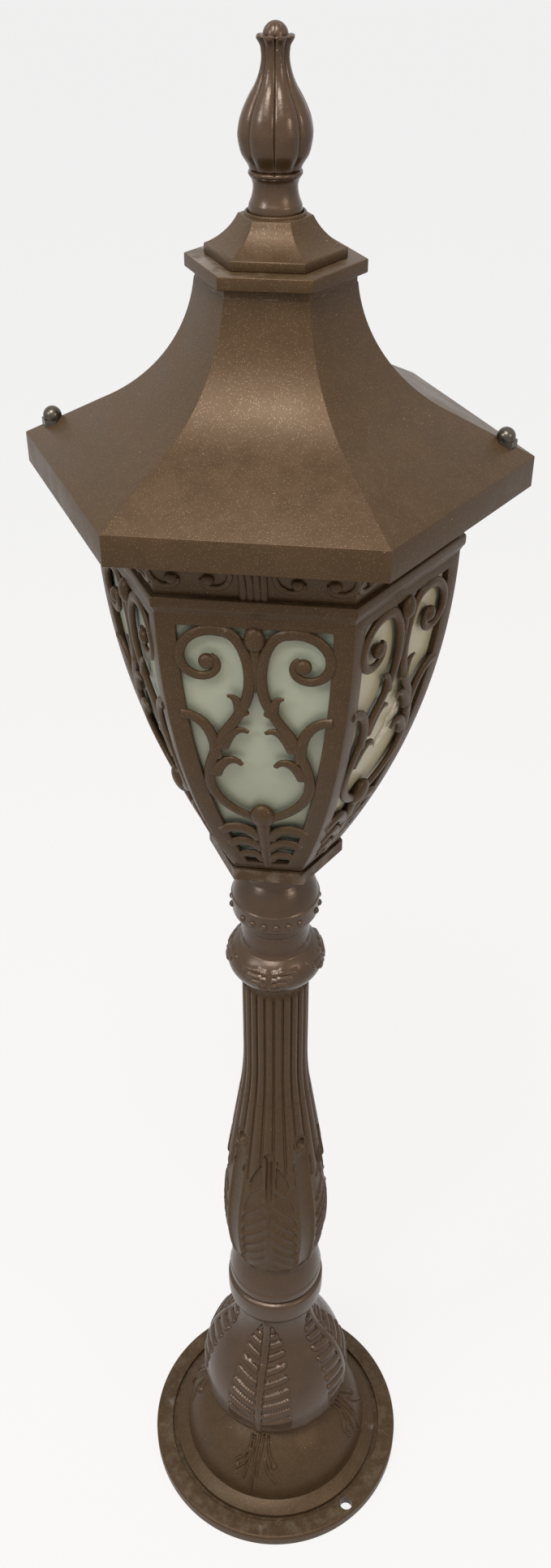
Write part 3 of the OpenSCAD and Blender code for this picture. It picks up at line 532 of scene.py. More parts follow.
# Leaves of the bell: their heights, half their spread in degrees, and where their bars start.
LEAF_FOOT, LEAF_TIP = 84, 214
LEAF_SPREAD = 27
BAR_ROOTS = np.array([106, 117.5, 129, 139.5, 151, 161.5, 171.5, 181.5, 190.5, 198.5, 206])


def bell_relief(settings):
    """Leaves with a middle rib and pairs of fat rounded bars that rise outwards"""
    high = settings.leaf_relief / MM

    def relief(az, z, r):
        across = np.abs(np.radians(wave(az, settings.leaves, settings.leaf_turn)) * r)
        reach = math.radians(LEAF_SPREAD) * r * np.clip((LEAF_TIP - z) / 30, 0.15, 1)
        place = np.interp(z - 0.36 * across, BAR_ROOTS, np.arange(len(BAR_ROOTS)))
        pitch = np.interp(place, np.arange(len(BAR_ROOTS) - 1), np.diff(BAR_ROOTS))
        off = (place - np.round(place)) * pitch
        over = np.clip(across - reach + 2.6, 0, None)
        bars = dome_of(np.hypot(off, over) / 2.9) * step(across, 2.7, 4.2) * step(z, 99, 121)
        rib = 0.85 * dome_of(across / 3.3) * step(z, LEAF_FOOT, LEAF_FOOT + 6)
        trough = step(reach + 1.5 - across, 0, 2) * step(z, 100, 116) * (across > 3.3) * 0.25
        end = step(LEAF_TIP - 2 - z, 0, 5)
        return high * (np.maximum(bars, rib) * end - trough * (bars < 0.05))
    return relief


# Ribs of one plume as points of across and height, each with half its width.
PLUME = [
    ([(-7.4, 67.8), (-7.9, 61.8), (-12.7, 55.7), (-18.0, 51.5), (-19.8, 49.0), (-17.6, 47.6)], 1.2),
    ([(-6.8, 61.0), (-7.6, 57.6), (-10.6, 51.2), (-16.8, 46.0), (-19.2, 42.6), (-16.8, 40.6)], 1.2),
    ([(-5.1, 67.8), (-4.8, 60.6), (-7.3, 50.8), (-10.6, 38.4)], 1.2),
    ([(-0.9, 69.3), (-1.6, 61.0), (-1.9, 48.9), (-2.7, 33.8), (-3.4, 26.0)], 1.35),
    ([(2.7, 68.9), (2.7, 61.4), (1.8, 52.0), (1.4, 44.0)], 1.2),
    ([(6.3, 68.6), (8.1, 64.0), (11.1, 58.8), (14.6, 54.6)], 1.2),
    ([(15.6, 53.0), (15.8, 52.6)], 2.6),
    ([(7.0, 56.0), (9.8, 50.5), (13.4, 45.5), (17.4, 41.4), (18.6, 39.0)], 1.2),
]


def dome_relief(settings):
    """Plumes of fanned ribs with curled tips under each leaf"""
    high = settings.plume_relief / MM

    def along(z):
        rise = (np.asarray(z) - DOME_FOOT) / DOME_CURVE
        return DOME_CURVE * np.arcsin(np.clip(rise, 0, 1))

    def relief(az, z, r):
        across = np.radians(wave(az, settings.leaves, settings.leaf_turn)) * r
        up = along(z)
        out = np.zeros(len(z))
        for line, half in PLUME:
            ridge = strokes(across, up, [[(a, float(along(h))) for a, h in line]], half)
            out = np.maximum(out, ridge * (half / 1.35) ** 0.5)
        pool = 0.30 * step(9 - np.abs(across), 0, 4) * step(z, 36, 46)
        seam = np.radians(wave(az, 1, -143.5 + 0.075 * (z - 17))) * r
        return high * np.maximum(out, pool) - 0.45 * dome_of(seam / 0.9)
    return relief


class BuildBase(bpy.types.Operator):
    """Round plate, plumed dome, leaf bell and collar rings"""
    bl_idname = "garden_light.build_base"
    bl_label = "Base"

    def execute(self, context):
        s = setting("base")
        plate = turned("base_plate", plate_profile(), 180)
        deselect()
        cutters = []
        for degrees in (-45, 135):
            a = math.radians(degrees)
            place = (BOLT_CIRCLE * MM * math.cos(a), BOLT_CIRCLE * MM * math.sin(a), 0)
            bpy.ops.mesh.primitive_cylinder_add(vertices=40, radius=HOLE_RADIUS * MM, depth=40 * MM,
                                                location=place)
            cutters.append(context.object)
        cutter = join("hole cutter", cutters)
        modify(plate, "BOOLEAN", object=cutter, operation="DIFFERENCE", solver="EXACT")
        bpy.data.objects.remove(cutter)
        dome = turned("base_dome", dome_profile(), 600)
        emboss(dome, dome_relief(s))
        bell = turned("base_bell", bell_profile(), 480)
        emboss(bell, bell_relief(s))
        rings = turned("base_rings", rings_profile(), 144)
        for piece in (plate, dome, bell, rings):
            smooth(piece)
            finish = "dark_coat" if piece in (rings, bell) else "bronze_coat"
            dress(piece, finish)
            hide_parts("base_casting")
        return {"FINISHED"}


# Post

# Where the turning of the post starts, in degrees, and heights of its flutes, belly and bosses.
POST_START = -86
FLUTE_FOOT, FLUTE_TOP = 394, 584
BELLY = 338
BOSS_LEVEL = 435.6


def shaft_profile():
    """Foot ring, belly, waist and neck of the shaft"""
    foot = [(30.8, 283), (32.2, 284), (32.8, 286), (32.6, 288), (32.2, 289.4), (33.0, 290.6)]
    belly = arc(-159.3, BELLY, 200, -13, 0, 34) + arc(-199.3, BELLY, 240, 0, 8.2, 24)
    waist = [(23.6, 474.6)] + arc(313.6, 516, 293, 188.2, 180, 24)
    return resample(foot + belly + waist + [(20.6, 578), (20.8, 584), (21.3, 587.6)], 1.35)


def vase_profile():
    angles = [math.radians(t) for t in range(-47, 46, 3)]
    bulge = [(31.8 * math.cos(t), 604 + 20.5 * math.sin(t)) for t in angles]
    neck = [(22.3, 620.5), (22.3, 636), (23.0, 637.2), (23.0, 640.5), (12, 640.5)]
    return resample([(21.0, 586.6), (21.4, 587.5)] + bulge + neck, 1.3)


def flute_relief(settings, low, high):
    """Round-bottomed flutes between narrow lands, rounded at both ends"""
    def relief(az, z, r):
        half_pitch = 180.0 / settings.flutes
        d = wave(az, settings.flutes, POST_START + half_pitch) / half_pitch / 0.86
        ends = np.clip(np.minimum(z - low, high - z) / 4, 0, 1)
        round_bottom = np.sqrt(np.clip(ends * ends * (2 - ends) - d * d, 0, 1))
        return -settings.flute_depth / MM * round_bottom
    return relief


# Heights at which the lobes of a belly leaf part at its middle.
LOBE_CUTS = np.array([284, 297, 308.5, 319.5, 331, 343, 355, 367, 381, 399, 424, 445])


def acanthus_relief(settings):
    """Leaves with drooping rounded lobes, with bosses and smooth folds between them"""
    high = settings.leaf_relief / MM

    def relief(az, z, r):
        turn = wave(az, settings.leaves, settings.leaf_turn)
        across = np.abs(np.radians(turn) * r)
        place = np.interp(z + 0.92 * across, LOBE_CUTS, np.arange(len(LOBE_CUTS)))
        part = place - np.floor(place)
        pitch = np.interp(place, np.arange(len(LOBE_CUTS) - 1) + 0.5, np.diff(LOBE_CUTS))
        edge = np.minimum(part, 1 - part) * pitch * 0.74
        reach = 23.5 * np.clip((432 - z) / 75, 0, 1) ** 0.55 * np.clip((z - 276) / 26, 0, 1) ** 0.4
        reach = reach - 3.4 * (2 * part - 1) ** 2
        lobe = dome_of(1 - np.clip(edge / 4.2, 0, 1)) * (0.72 + 0.28 * np.clip(across / 18, 0, 1))
        leaf = np.where(across > 3.4, lobe, np.maximum(lobe * step(across, 1.2, 3.4), 0.5))
        leaf = leaf * step(reach - across, 0, 1.8) * (0.35 + 0.65 * step(z, 296, 318))
        vein = dome_of(across / 2.0) * step(z, 370, 380) * step(428 - z, 0, 8)
        groove = dome_of((across - 3.7) / 1.7) * step(z, 376, 390) * step(430 - z, 0, 8) * 1.1
        groove = groove + dome_of(across / 0.9) * step(372 - z, 0, 6) * step(z, 306, 322) * 0.45
        between = settings.leaf_turn + 180 / settings.leaves
        beside = np.abs(np.radians(wave(az, settings.leaves, between)) * r)
        boss_distance = np.hypot(beside / 3.7, (z - BOSS_LEVEL) / 4.7)
        boss = dome_of(boss_distance) * 1.35
        pit = step(1.75 - boss_distance, 0, 0.45) * 0.55 * (boss_distance > 1)
        fold = dome_of(beside / 5.2) * step(z, 287, 292) * step(428 - z, 0, 8) * 0.75
        crease = dome_of((beside - 6.6) / 1.3) * step(z, 290, 300) * step(424 - z, 0, 10) * 0.45
        on_leaf = np.maximum(leaf, vein) - groove
        off_leaf = np.maximum(boss, fold * (boss < 0.01) - crease * (leaf < 0.05))
        bare = np.maximum(leaf, np.maximum(boss, fold)) < 0.02
        return high * (np.where(bare, -crease, np.maximum(on_leaf, off_leaf)) - pit)
    return relief


def vase_leaf_relief(settings):
    """Leaves of three pairs of strokes on the underside of the vase bulge"""
    high = settings.leaf_relief / MM
    lines = [[(2.4, 611.6), (8, 612.6), (18.0, 611.6)], [(2.2, 607.6), (7, 608.8), (15, 608.4)],
             [(2.0, 603.4), (6, 604.6), (11, 604.8)], [(1.6, 599.6), (6, 600.8)]]

    def relief(az, z, r):
        across = np.abs(np.radians(wave(az, settings.leaves, settings.leaf_turn)) * r)
        return high * 0.65 * strokes(across, z, lines, 1.35)
    return relief


class BuildPost(bpy.types.Operator):
    """Fluted shaft with leaves at its foot and a vase bulge"""
    bl_idname = "garden_light.build_post"
    bl_label = "Post"

    def execute(self, context):
        s = setting("post")
        start = math.radians(POST_START)
        flutes, leaves = flute_relief(s, FLUTE_FOOT, FLUTE_TOP), acanthus_relief(s)

        def carving(az, z, r):
            leaf = leaves(az, z, r)
            return flutes(az, z, r) * step(np.abs(leaf), 0.4, 0.0) + leaf

        shaft = turned("post_lower", shaft_profile(), 396, start)
        emboss(shaft, carving)
        vase = turned("post_vase", vase_profile(), 396, start)
        emboss(vase, vase_leaf_relief(s))
        for piece, finish in ((shaft, "bronze_coat"), (vase, "dark_coat")):
            smooth(piece, 50)
            dress(piece, finish)
            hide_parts("post_shaft")
        return {"FINISHED"}


# Lantern

# A hexagon's sides lie at this share of its corners' distance from the axis, in these directions.
FACE = math.cos(math.radians(30))
SIDES = [30 + 60 * k for k in range(6)]

# The lantern's sides are upright at CAGE_TOP and curve inwards below it.
CAGE_FACE = 97.5 * FACE
CAGE_TOP = 910
CAGE_CURVE = 446
WALL = 3.5

# The window of a side is drawn flat, up from its foot.
WINDOW_FOOT = 712
WINDOW_TOP = 186.0
WINDOW_ROWS = 30
UPRIGHT_WIDTH = 10
EYE = (25.0, 165.4)


def side_distance(z):
    """Distance of the lantern's side from the axis"""
    return CAGE_FACE - CAGE_CURVE + np.sqrt(CAGE_CURVE ** 2 - (CAGE_TOP - z) ** 2)


def hexagonal(name, profile, bevel, segments=3):
    """Hexagonal ring from a closed profile of corner radius and height"""
    piece = turned(name, profile, 6, closed=True)
    modify(piece, "BEVEL", width=bevel * MM, segments=segments, limit_method="ANGLE",
           angle_limit=math.radians(25))
    return piece


def set_on_side(piece, turn, face, across, up):
    """Moves the points to their distance, across and up on the side at a turn, in mm"""
    a = math.radians(turn)
    x = face * math.cos(a) - across * math.sin(a)
    y = face * math.sin(a) + across * math.cos(a)
    put_back(piece, np.stack([x, y, up], 1) * MM)
    return piece


def bent_to_side(piece, turn):
    """Lays a flat piece (across, up from the window's foot, proud) on a side of the lantern"""
    co = coordinates(piece)
    u, z, d = co[:, 0] / MM, co[:, 1] / MM + WINDOW_FOOT, co[:, 2] / MM
    lean = (CAGE_TOP - z) / CAGE_CURVE
    face = side_distance(z - d * lean) + d * np.sqrt(1 - lean ** 2)
    return set_on_side(piece, turn, face, u, z - d * lean)


def frame_side():
    """Flat window frame of one side: a grid with its middle taken out"""
    rows = WINDOW_ROWS
    deselect()
    bpy.ops.mesh.primitive_grid_add(x_subdivisions=3, y_subdivisions=rows + 2, size=1)
    side = bpy.context.object
    co = coordinates(side)
    level = np.round((co[:, 1] + 0.5) * (rows + 2)).astype(int)
    column = np.round((co[:, 0] + 0.5) * 3).astype(int)
    heights = np.array([-6.0] + [WINDOW_TOP * i / rows for i in range(rows + 1)] + [193.0])
    z = heights[level]
    half_side = side_distance(z + WINDOW_FOOT) * math.tan(math.radians(30))
    half = np.where((column == 0) | (column == 3), half_side, half_side - UPRIGHT_WIDTH)
    co = np.stack([np.where(column < 2, -half, half) * MM, z * MM, np.zeros(len(z))], 1)
    put_back(side, co)
    edit("FACE")
    bpy.ops.mesh.select_all(action="DESELECT")
    leave_edit()
    for f in side.data.polygons:
        f.select = abs(f.center.x) < 1e-5 and 0 < f.center.y < WINDOW_TOP * MM
    edit("FACE")
    bpy.ops.mesh.delete(type="FACE")
    leave_edit()
    return side


def stem(points, widths, bezier=True):
    """Flat tapering stem with a rounded crest, along cubic pieces or through points, in mm"""
    deselect()
    bpy.ops.curve.primitive_bezier_curve_add(location=(0, 0, 0))
    curve = bpy.context.object
    data = curve.data
    data.dimensions = "2D"
    data.fill_mode = "NONE"
    data.resolution_u = 8
    data.bevel_mode = "OBJECT"
    data.bevel_object = bpy.data.objects["stem section"]
    data.use_fill_caps = True
    flat = [(x * MM, y * MM, 0) for x, y in points]
    knots = flat[::3] if bezier else flat
    spline = data.splines[0]
    spline.bezier_points.add(len(knots) - 2)
    for i, (p, knot, width) in enumerate(zip(spline.bezier_points, knots, widths)):
        p.handle_left_type = p.handle_right_type = "FREE" if bezier else "AUTO"
        p.co = knot
        p.radius = width
        if bezier:
            p.handle_left = flat[3 * i - 1] if i else knot
            p.handle_right = flat[3 * i + 1] if 3 * i + 1 < len(flat) else knot
    pick(curve)
    bpy.ops.object.convert(target="MESH")
    return bpy.context.object


def stem_section(settings):
    """Half-round section that every stem follows"""
    bpy.ops.curve.primitive_bezier_circle_add(radius=1)
    section = bpy.context.object
    section.name = "stem section"
    w, d, crest = settings.stem_width / 2, settings.stem_depth, settings.crest
    knots = section.data.splines[0].bezier_points
    flank = crest - d * 0.55
    for p, (x, y) in zip(knots, [(-w, flank), (0, crest), (w, flank), (0, crest - d)]):
        p.co = (x, y, 0)
    for p in knots:
        p.handle_left_type = p.handle_right_type = "AUTO"
    section.data.resolution_u = 4
    return section


def oval(across, up, half_width, half_height, depth):
    """Flat round bud"""
    deselect()
    bpy.ops.mesh.primitive_uv_sphere_add(segments=24, ring_count=14, radius=1)
    bud = bpy.context.object
    bpy.ops.transform.resize(value=(half_width * MM, half_height * MM, depth * MM))
    bpy.ops.transform.translate(value=(across * MM, up * MM, -0.6 * MM))
    bpy.ops.object.transform_apply(location=True, scale=True)
    return bud


def coil():
    """Points and widths of the coil that winds in round the eye"""
    count, start = 18, 62
    points, widths = [], []
    for i in range(count + 1):
        a = math.radians(start + 350 * i / count)
        r = 20.7 * math.exp(-0.25 * (a - math.radians(start)))
        points.append((EYE[0] - r * math.cos(a), EYE[1] + r * math.sin(a)))
        widths.append(1.0 - 0.3 * i / count)
    return points, widths


def scroll_half():
    """Right half of a side's scrollwork, drawn flat: scroll, coil, sprigs and foot leaves"""
    points, widths = coil()
    parts = [
        stem([(5, 51), (16, 56), (27, 68), (27.2, 82), (27.3, 96), (21.8, 107), (17.5, 119),
              (11.5, 128), (2.9, 140), (2.9, 156), (2.9, 170), (7.5, 182.5), points[0]],
             [0.95, 1, 1, 1, 1]),
        stem(points, widths, False),
        stem([(22.5, 101), (21.3, 116), (26, 130.5), (39, 131.5)], [1.1, 0.95]),
        stem([(19, 109), (15, 119), (10, 125.5), (4.4, 121)], [1.35, 0.4]),
        stem([(24, 88), (20, 99.5), (13, 103), (9, 96.5)], [1.35, 0.5]),
        stem([(7.5, 133), (8.6, 139), (10, 145.6), (14.6, 145)], [1.35, 0.3]),
        oval(EYE[0] - 1.0, EYE[1] + 0.3, 4.4, 4.4, 3.0),
        stem([(3, 30), (8, 40), (15, 43), (24, 36)], [1.25, 1.2]),
        stem([(2, 18), (7, 26), (12, 28.5), (20, 22)], [1.2, 1.15]),
        stem([(2, 5), (5, 12), (9, 14.5), (15, 9)], [1.1, 1.0]),
    ]
    return join("scroll half", parts)


def scroll_side():
    """Both halves of a side's scrollwork, with its middle stems and buds"""
    right = scroll_half()
    left = copied(right)
    co = coordinates(left)
    co[:, 0] *= -1
    put_back(left, co)
    middle = [
        oval(0, 180.2, 5.4, 7.2, 4.2),
        stem([(0, 148), (0, 158), (0, 170), (0, 179)], [0.15, 1.1]),
        oval(0, 52.6, 7.0, 9.2, 4.8),
        stem([(0, -2), (0, 14), (0, 30), (0, 50)], [0.95, 1.5]),
    ]
    return join("scroll side", [right, left] + middle)


def on_all_sides(flat, laid):
    """Copies of a flat piece, laid on the six sides"""
    pieces = [laid(copied(flat), turn) for turn in SIDES]
    bpy.data.objects.remove(flat)
    return pieces


SMEARED_SIDE = -30


def sealant_smear():
    """Ragged flat blot of sealant, on the outside of a pane"""
    blot = oval(0, 0, 1, 1, 1)
    x, y, z = coordinates(blot).T / MM
    a = np.arctan2(y, x)
    ragged = 1 + 0.20 * np.sin(3 * a + 1) + 0.12 * np.sin(7 * a) + 0.09 * np.sin(13 * a + 2)
    lumps = 1 + 0.4 * np.sin(5 * x + 2 * y) * np.cos(4 * y - x)
    across, up = 6.5 * x * ragged, 13 * y * ragged
    lean = math.radians(-28)
    place = [10.5 + across * math.cos(lean) - up * math.sin(lean),
             98 + across * math.sin(lean) + up * math.cos(lean),
             -3.7 + 0.9 * (z + 0.6) * lumps]
    put_back(blot, np.stack(place, 1) * MM)
    return blot


class BuildCage(bpy.types.Operator):
    """Pierced lantern body with its frame, ledge, foot and scrollwork"""
    bl_idname = "garden_light.build_cage"
    bl_label = "Lantern cage"

    def execute(self, context):
        join("cage_frame", on_all_sides(frame_side(), bent_to_side))
        shell = clean_up("cage_frame")
        modify(shell, "SOLIDIFY", thickness=WALL * MM, offset=-1)
        modify(shell, "BEVEL", width=0.7 * MM, segments=2, limit_method="ANGLE",
               angle_limit=math.radians(35))
        ledge = hexagonal("cage_ledge", [
            (92, 903.4), (97.3, 903.4), (97.6, 905), (98.8, 907), (99.8, 908.4), (100, 909.5),
            (100, 913), (99.4, 914), (80, 914), (80, 910)], 0.5)
        foot = hexagonal("cage_foot", [
            (24, 700.05), (38.4, 700.05), (38.4, 704.4), (40.2, 705.6), (40.4, 707), (36, 707),
            (34, 704), (24, 704)], 0.4)
        section = stem_section(setting("cage"))
        scrolls = on_all_sides(scroll_side(), bent_to_side)
        bpy.data.objects.remove(section)
        for k, scroll in enumerate(scrolls):
            scroll.name = "cage_scroll_%d" % (k + 1)
            bpy.context.view_layer.objects.active = scroll
            clean_up(scroll.name)
        for piece in [shell, ledge, foot] + scrolls:
            smooth(piece, 40)
            dress(piece, "bronze_coat")
            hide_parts("lantern_cage")
        smear = bent_to_side(sealant_smear(), SMEARED_SIDE)
        smear.name = "sealant_smear"
        smooth(smear, 60)
        dress(smear, "sealant")
        return {"FINISHED"}


# Heights of the cornice, and one curl of its ornament with the stem's width at each point.
CORNICE_FOOT, CORNICE_TOP = 914, 947
CORNICE_CURL = [(3.6, 0.4), (2.6, -3.4), (-1.5, -5.4), (-6.4, -4.2), (-9.6, 0.4), (-9.8, 6.2),
                (-6.6, 10.8), (-1.0, 13.2), (6.5, 13.6)]
CURL_WIDTHS = [0.42, 0.50, 0.55, 0.55, 0.52, 0.48, 0.44, 0.34, 0.12]
CURL_LEVEL = 11.5


def cove_line():
    """Distance from the axis and height along the hollow of the cornice"""
    foot = 83.57
    edge = (foot + 0.5, 916.5)
    hollow = cubic(edge, (foot + 2, 928), (92, 938), (102, 940), 12)
    return [(foot, CORNICE_FOOT)] + hollow


def laid_on_cove(piece, turn):
    """Lays a flat piece (across, up along the hollow, proud) on one side of the cornice"""
    u, v, d = coordinates(piece).T / MM
    line = np.array(cove_line())
    run = np.diff(line, axis=0)
    along = np.concatenate([[0], np.cumsum(np.hypot(run[:, 0], run[:, 1]))])
    slope = np.gradient(line, along, axis=0)
    face = np.interp(v, along, line[:, 0]) + d * np.interp(v, along, slope[:, 1])
    up = np.interp(v, along, line[:, 1]) - d * np.interp(v, along, slope[:, 0])
    return set_on_side(piece, turn, face, u, up)


def cornice_side():
    """Ornament of one side: four curls round their eyes, and a bundle of reeds between them"""
    parts = []
    for middle, side in ((-39.6, 1), (-20.8, -1), (20.8, 1), (39.6, -1)):
        curl = [(middle + side * x, CURL_LEVEL + y) for x, y in CORNICE_CURL]
        parts.append(stem(curl, CURL_WIDTHS, False))
        parts.append(oval(middle + side * 0.6, CURL_LEVEL, 3.3, 3.5, 3.0))
    for x in (-5.1, -1.7, 1.7, 5.1):
        parts.append(stem([(x, 0.6), (x, 10), (x * 1.04, 20), (x * 1.15, 31)], [0.62, 0.62]))
    for side in (-1, 1):
        tip = [(side * 3, 26), (side * 6, 30), (side * 10, 31), (side * 14, 29.5)]
        parts.append(stem(tip, [0.5, 0.12]))
    flat = join("cornice side", parts)
    co = coordinates(flat)
    co[:, 2] += 0.7 * MM
    put_back(flat, co)
    return flat


class BuildCornice(bpy.types.Operator):
    """Slanting frieze between lantern and roof, with curls and reeds"""
    bl_idname = "garden_light.build_cornice"
    bl_label = "Cornice"

    def execute(self, context):
        cove = [(a / FACE, z) for a, z in cove_line()[1:]]
        edge = [(123.6, 940), (124, 940.5), (124, 946.6), (123.5, CORNICE_TOP), (109, CORNICE_TOP)]
        inside = [(108, 940), (95, 928), (92.4, 918), (80, 918)]
        profile = [(80, CORNICE_FOOT), (96.5, CORNICE_FOOT)] + cove + edge + inside
        ring = hexagonal("cornice_frieze", profile, 0.7)
        section = stem_section(setting("cage"))
        join("cornice_ornament", on_all_sides(cornice_side(), laid_on_cove))
        bpy.data.objects.remove(section)
        ornament = clean_up("cornice_ornament")
        for piece in (ring, ornament):
            smooth(piece, 35)
            dress(piece, "bronze_coat")
            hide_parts("cornice_ring")
        return {"FINISHED"}


# Roof and crown

# Distance of the roof's corners from the axis, radius of its hollow, and distance of the nuts.
ROOF_CORNER = 129.8
ROOF_CURVE = 77.3
NUT_DISTANCE = 114.7


def roof_profile():
    """Corner radius and height of the roof, inside and out"""
    top = math.radians(84)
    cx = 33.429 + 0.4 + ROOF_CURVE * math.sin(top)
    cz = 1039.0 + ROOF_CURVE * math.cos(top)
    hollow = [(cx - ROOF_CURVE * math.sin(math.radians(t)),
               cz - ROOF_CURVE * math.cos(math.radians(t))) for t in np.linspace(26.5, 84, 22)]
    eave = ROOF_CORNER * FACE
    start = hollow[0][1] - (eave - hollow[0][0]) * math.tan(math.radians(28.5))
    outside = [(eave, 942), (eave, start - 0.4)] + hollow
    inside = [(33.4, 1030), (36, 1015), (46, 995), (70, 971), (104, 951), (107.5, 951),
              (107.6, 942)]
    neck = [(38.6, 1039.4), (38.6, 1043.9)]
    return [(a / FACE, z) for a, z in outside] + neck + [(a / FACE, z) for a, z in inside]


class BuildRoof(bpy.types.Operator):
    """Concave hexagonal roof with the collar on its neck"""
    bl_idname = "garden_light.build_roof"
    bl_label = "Roof"

    def execute(self, context):
        shell = hexagonal("roof_skin", roof_profile(), 1.2, 4)
        band = [(20, 1043.3), (43.4, 1043.3), (43.4, 1049.6), (20, 1049.6)]
        collar = hexagonal("roof_collar", band, 0.6)
        pads = []
        for x in (-NUT_DISTANCE, NUT_DISTANCE):
            deselect()
            bpy.ops.mesh.primitive_cylinder_add(vertices=48, radius=7 * MM, depth=12 * MM,
                                                location=(x * MM, 0, 0.953))
            pads.append(context.object)
            bpy.ops.object.transform_apply(location=True)
            modify(pads[-1], "BEVEL", width=0.8 * MM, segments=3, limit_method="ANGLE")
        pad = join("roof_pads", pads)
        for piece in (shell, collar, pad):
            smooth(piece, 30)
            dress(piece, "bronze_coat")
            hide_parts("roof_shell")
        return {"FINISHED"}


class BuildCrown(bpy.types.Operator):
    """Small hexagonal cap with its round lip"""
    bl_idname = "garden_light.build_crown"
    bl_label = "Crown cap"

    def execute(self, context):
        slope = cubic((33.9, 1054.1), (27.5, 1056.4), (20.8, 1061.5), (17.6, 1068), 10)
        cap = hexagonal("crown_skirt", [(10, 1049.6), (33.9, 1049.6)] + slope + [(10, 1068)], 0.6)
        rim = arc(13.7, 1068.8, 0.7, 180, 0, 6)
        lip = turned("crown_lip", [(12.6, 1065), (12.9, 1069)] + rim + [(14.4, 1064.5)], 72)
        for piece in (cap, lip):
            smooth(piece, 30)
            dress(piece, "bronze_coat")
            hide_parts("crown_cap")
        return {"FINISHED"}


# Lobes of the finial, the outline of its bulb, and how deep the lobes are at each height.
LOBES = 8
LOBE_START = -85
BULB = [(12.0, 1087.4), (12.9, 1089.5), (15.6, 1093.5), (16.8, 1097.5), (17.4, 1101.4),
        (17.0, 1105), (16.0, 1109), (14.2, 1113), (12.0, 1117), (9.7, 1120.6), (8.0, 1124.3),
        (6.9, 1128), (6.4, 1131.8), (6.8, 1135.5)]
LOBE_HEIGHTS = [1084.2, 1085.4, 1087.5, 1092, 1102, 1116, 1126, 1134, 1138.5, 1139.2, 1140, 1145]
LOBE_DEPTHS = [0.0, 0.35, 0.7, 1.4, 1.9, 1.6, 1.0, 0.9, 1.9, 1.6, 0.3, 0.2]


def rounded(points):
    """Smooth line through plain points"""
    out = []
    for i in range(len(points) - 1):
        a, b = points[max(i - 1, 0)], points[i]
        c, d = points[i + 1], points[min(i + 2, len(points) - 1)]
        out += cubic(b, tuple(q + (w - p) / 6 for p, q, w in zip(a, b, c)),
                     tuple(w - (v - q) / 6 for q, w, v in zip(b, c, d)), c, 4)[:-1]
    return out


def finial_profile():
    """Foot, ring, bulb, flared tip and its round bead"""
    foot = [(0.4, 1066.6), (12.4, 1066.6), (12.5, 1070.5), (12.2, 1072.5)] + cubic(
        (12.2, 1072.5), (10.6, 1075.5), (10.1, 1078.5), (10.3, 1081.0), 10)
    ring = [(10.9, 1083.0), (11.9, 1084.4)] + arc(11.4, 1085.7, 1.2, -70, 70, 8) + [(11.2, 1087.1)]
    tip = cubic((6.8, 1135.5), (7.3, 1137), (8.4, 1138), (8.7, 1138.8), 6) + [
        (8.6, 1139.6), (8.0, 1139.9), (6.6, 1139.3), (6.0, 1139.4)]
    bead = arc(0, 1139.4, 5.75, 2, 86, 14)
    return resample(foot + ring + rounded(BULB) + tip + bead, 0.75)


def finial_relief(az, z, r):
    """Lobes on the bulb, running up the neck into the petals of the tip"""
    d = np.abs(wave(az, LOBES, LOBE_START)) / (180 / LOBES)
    lobe = np.sqrt(np.sin(np.clip(d, 0.0004, 1) * np.pi / 2)) - 1
    return lobe * np.interp(z, LOBE_HEIGHTS, LOBE_DEPTHS)


class BuildFinial(bpy.types.Operator):
    """Lobed finial on its turned foot"""
    bl_idname = "garden_light.build_finial"
    bl_label = "Finial"

    def execute(self, context):
        finial = turned("finial_lobed", finial_profile(), 288, math.radians(LOBE_START))
        emboss(finial, finial_relief)
        smooth(finial, 50)
        dress(finial, "dark_coat")
        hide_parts("finial")
        return {"FINISHED"}


# The CAD pieces that stay

# Panes that get the glass with painted sunlight in place of their slot's finish.
PAINTED_SUNLIT_PANES = ("glass_pane_1", "glass_pane_6")


class DressFrame(bpy.types.Operator):
    """Gives each fixed piece the finish of its slot, and panes 1 and 6 frosted glass with painted
    sunlight
    """
    bl_idname = "garden_light.dress_frame"
    bl_label = "Fixed pieces"

    def execute(self, context):
        slots = {s["node"]: s["material_slot"] for s in frame["record"]["subparts"]}
        for node, piece in frame["nodes"].items():
            piece.data.materials.clear()
            piece.data.materials.append(FINISH[slots[node]])
        # Panes 1 and 6 get painted sunlight: a warmer copy of the pane colour.
        for node in PAINTED_SUNLIT_PANES:
            frame["nodes"][node].data.materials[0] = FINISH["painted_sunlit_glass"]
        return {"FINISHED"}


# Place of the camera round the axis, in metres and degrees.
CAMERA_DISTANCE = 0.64244
CAMERA_HEIGHT = 1.22086
CAMERA_TURN = 7.082
CAMERA_TILT = 36.637

# Each lamp's place, size, power in watts and colour.
LAMPS = {
    "key light": ((-1.6, -1.3, 2.3), 0.6, 18, (0.90, 0.95, 1.0)),
    "fill light": ((1.8, -1.2, 1.9), 0.5, 11, (1.0, 0.84, 0.66)),
    "top light": ((-0.2, -1.0, 2.9), 1.0, 50, (1.0, 0.97, 0.93)),
}
LAMP_AIM = Vector((0, 0, 0.6))
FLOOR_SHOWN_WHITE = 0.82


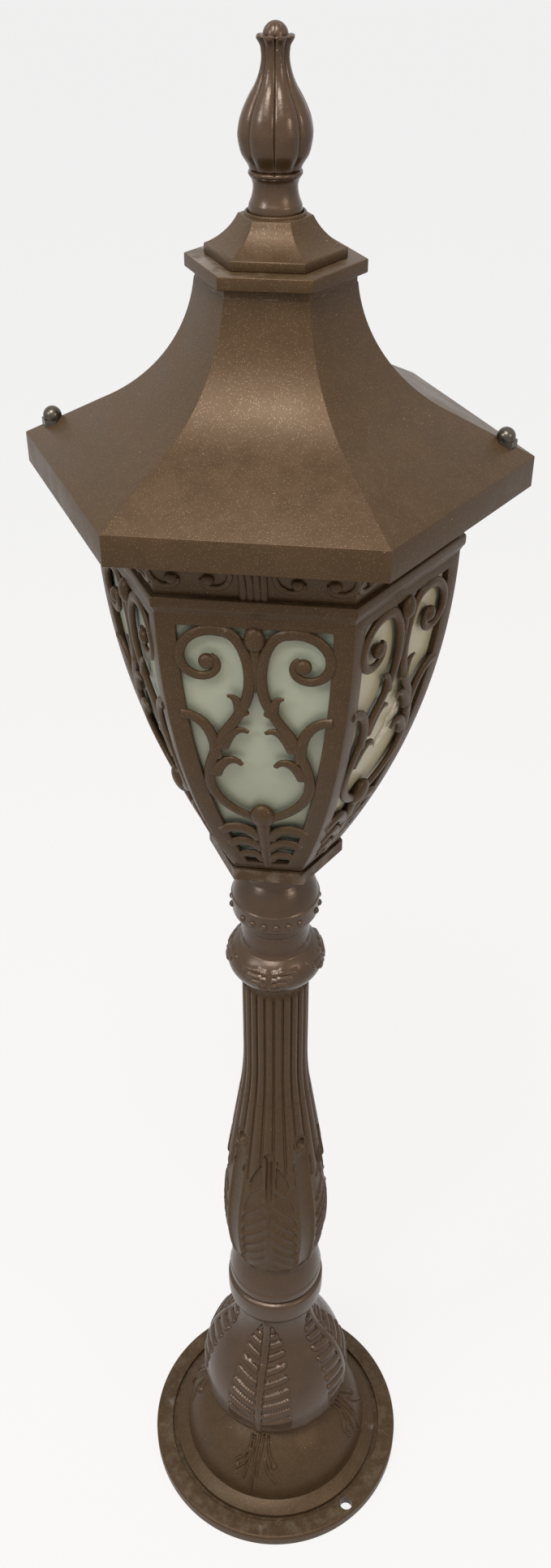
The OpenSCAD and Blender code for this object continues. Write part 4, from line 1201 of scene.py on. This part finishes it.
class BuildStage(bpy.types.Operator):
    """Camera, floor and soft light"""
    bl_idname = "garden_light.build_stage"
    bl_label = "Stage"

    def execute(self, context):
        s = setting("stage")
        deselect()
        turn = math.radians(CAMERA_TURN)
        place = (CAMERA_DISTANCE * math.sin(turn), -CAMERA_DISTANCE * math.cos(turn), CAMERA_HEIGHT)
        bpy.ops.object.camera_add(location=place,
                                  rotation=(math.radians(90 - CAMERA_TILT), 0, turn))
        camera = context.object
        camera.data.sensor_fit = "VERTICAL"
        camera.data.sensor_height = 36
        camera.data.lens = s.lens
        camera.data.clip_start = 0.01
        context.scene.camera = camera
        bpy.ops.mesh.primitive_plane_add(size=120, location=(0, 0, 0))
        floor = context.object
        floor.name = "floor"
        f = Finish("pale floor")
        f.set(Base_Color=rgba(s.floor), Roughness=0.85)
        f.seen_white(FLOOR_SHOWN_WHITE)
        floor.data.materials.append(f.material)
        for name, (place, size, power, tint) in LAMPS.items():
            bpy.ops.object.light_add(type="AREA", location=place)
            lamp = context.object
            lamp.name = name
            lamp.data.size = size
            lamp.data.energy = power
            lamp.data.color = tint
            aim = LAMP_AIM - Vector(place)
            lamp.rotation_euler = aim.to_track_quat("-Z", "Y").to_euler()
        world = context.scene.world or bpy.data.worlds.new("World")
        context.scene.world = world
        world.use_nodes = True
        Background(world.node_tree).light_up(s.sky, s.sky_strength)
        context.scene.view_settings.view_transform = "Standard"
        return {"FINISHED"}


STEPS = (BuildStage, DressFrame, BuildBase, BuildPost, BuildCage, BuildCornice, BuildRoof,
         BuildCrown, BuildFinial)


class GardenLightPanel(bpy.types.Panel):
    """Lists the pieces of the garden light"""
    bl_idname = "VIEW3D_PT_garden_light"
    bl_label = "Garden light"
    bl_space_type = "VIEW_3D"
    bl_region_type = "UI"
    bl_category = "Garden light"

    def draw(self, context):
        for operator in STEPS:
            self.layout.operator(operator.bl_idname)


def register():
    for cls in (*SETTINGS.values(), *STEPS, GardenLightPanel):
        bpy.utils.register_class(cls)
    for key, group in SETTINGS.items():
        setattr(bpy.types.Scene, "garden_light_" + key, bpy.props.PointerProperty(type=group))


def unregister():
    for key in SETTINGS:
        delattr(bpy.types.Scene, "garden_light_" + key)
    for cls in reversed((*SETTINGS.values(), *STEPS, GardenLightPanel)):
        bpy.utils.unregister_class(cls)


def main():
    register()
    FINISH.update(finishes())
    for operator in STEPS:
        group, name = operator.bl_idname.split(".")
        getattr(getattr(bpy.ops, group), name)()


if __name__ == "__main__":
    main()
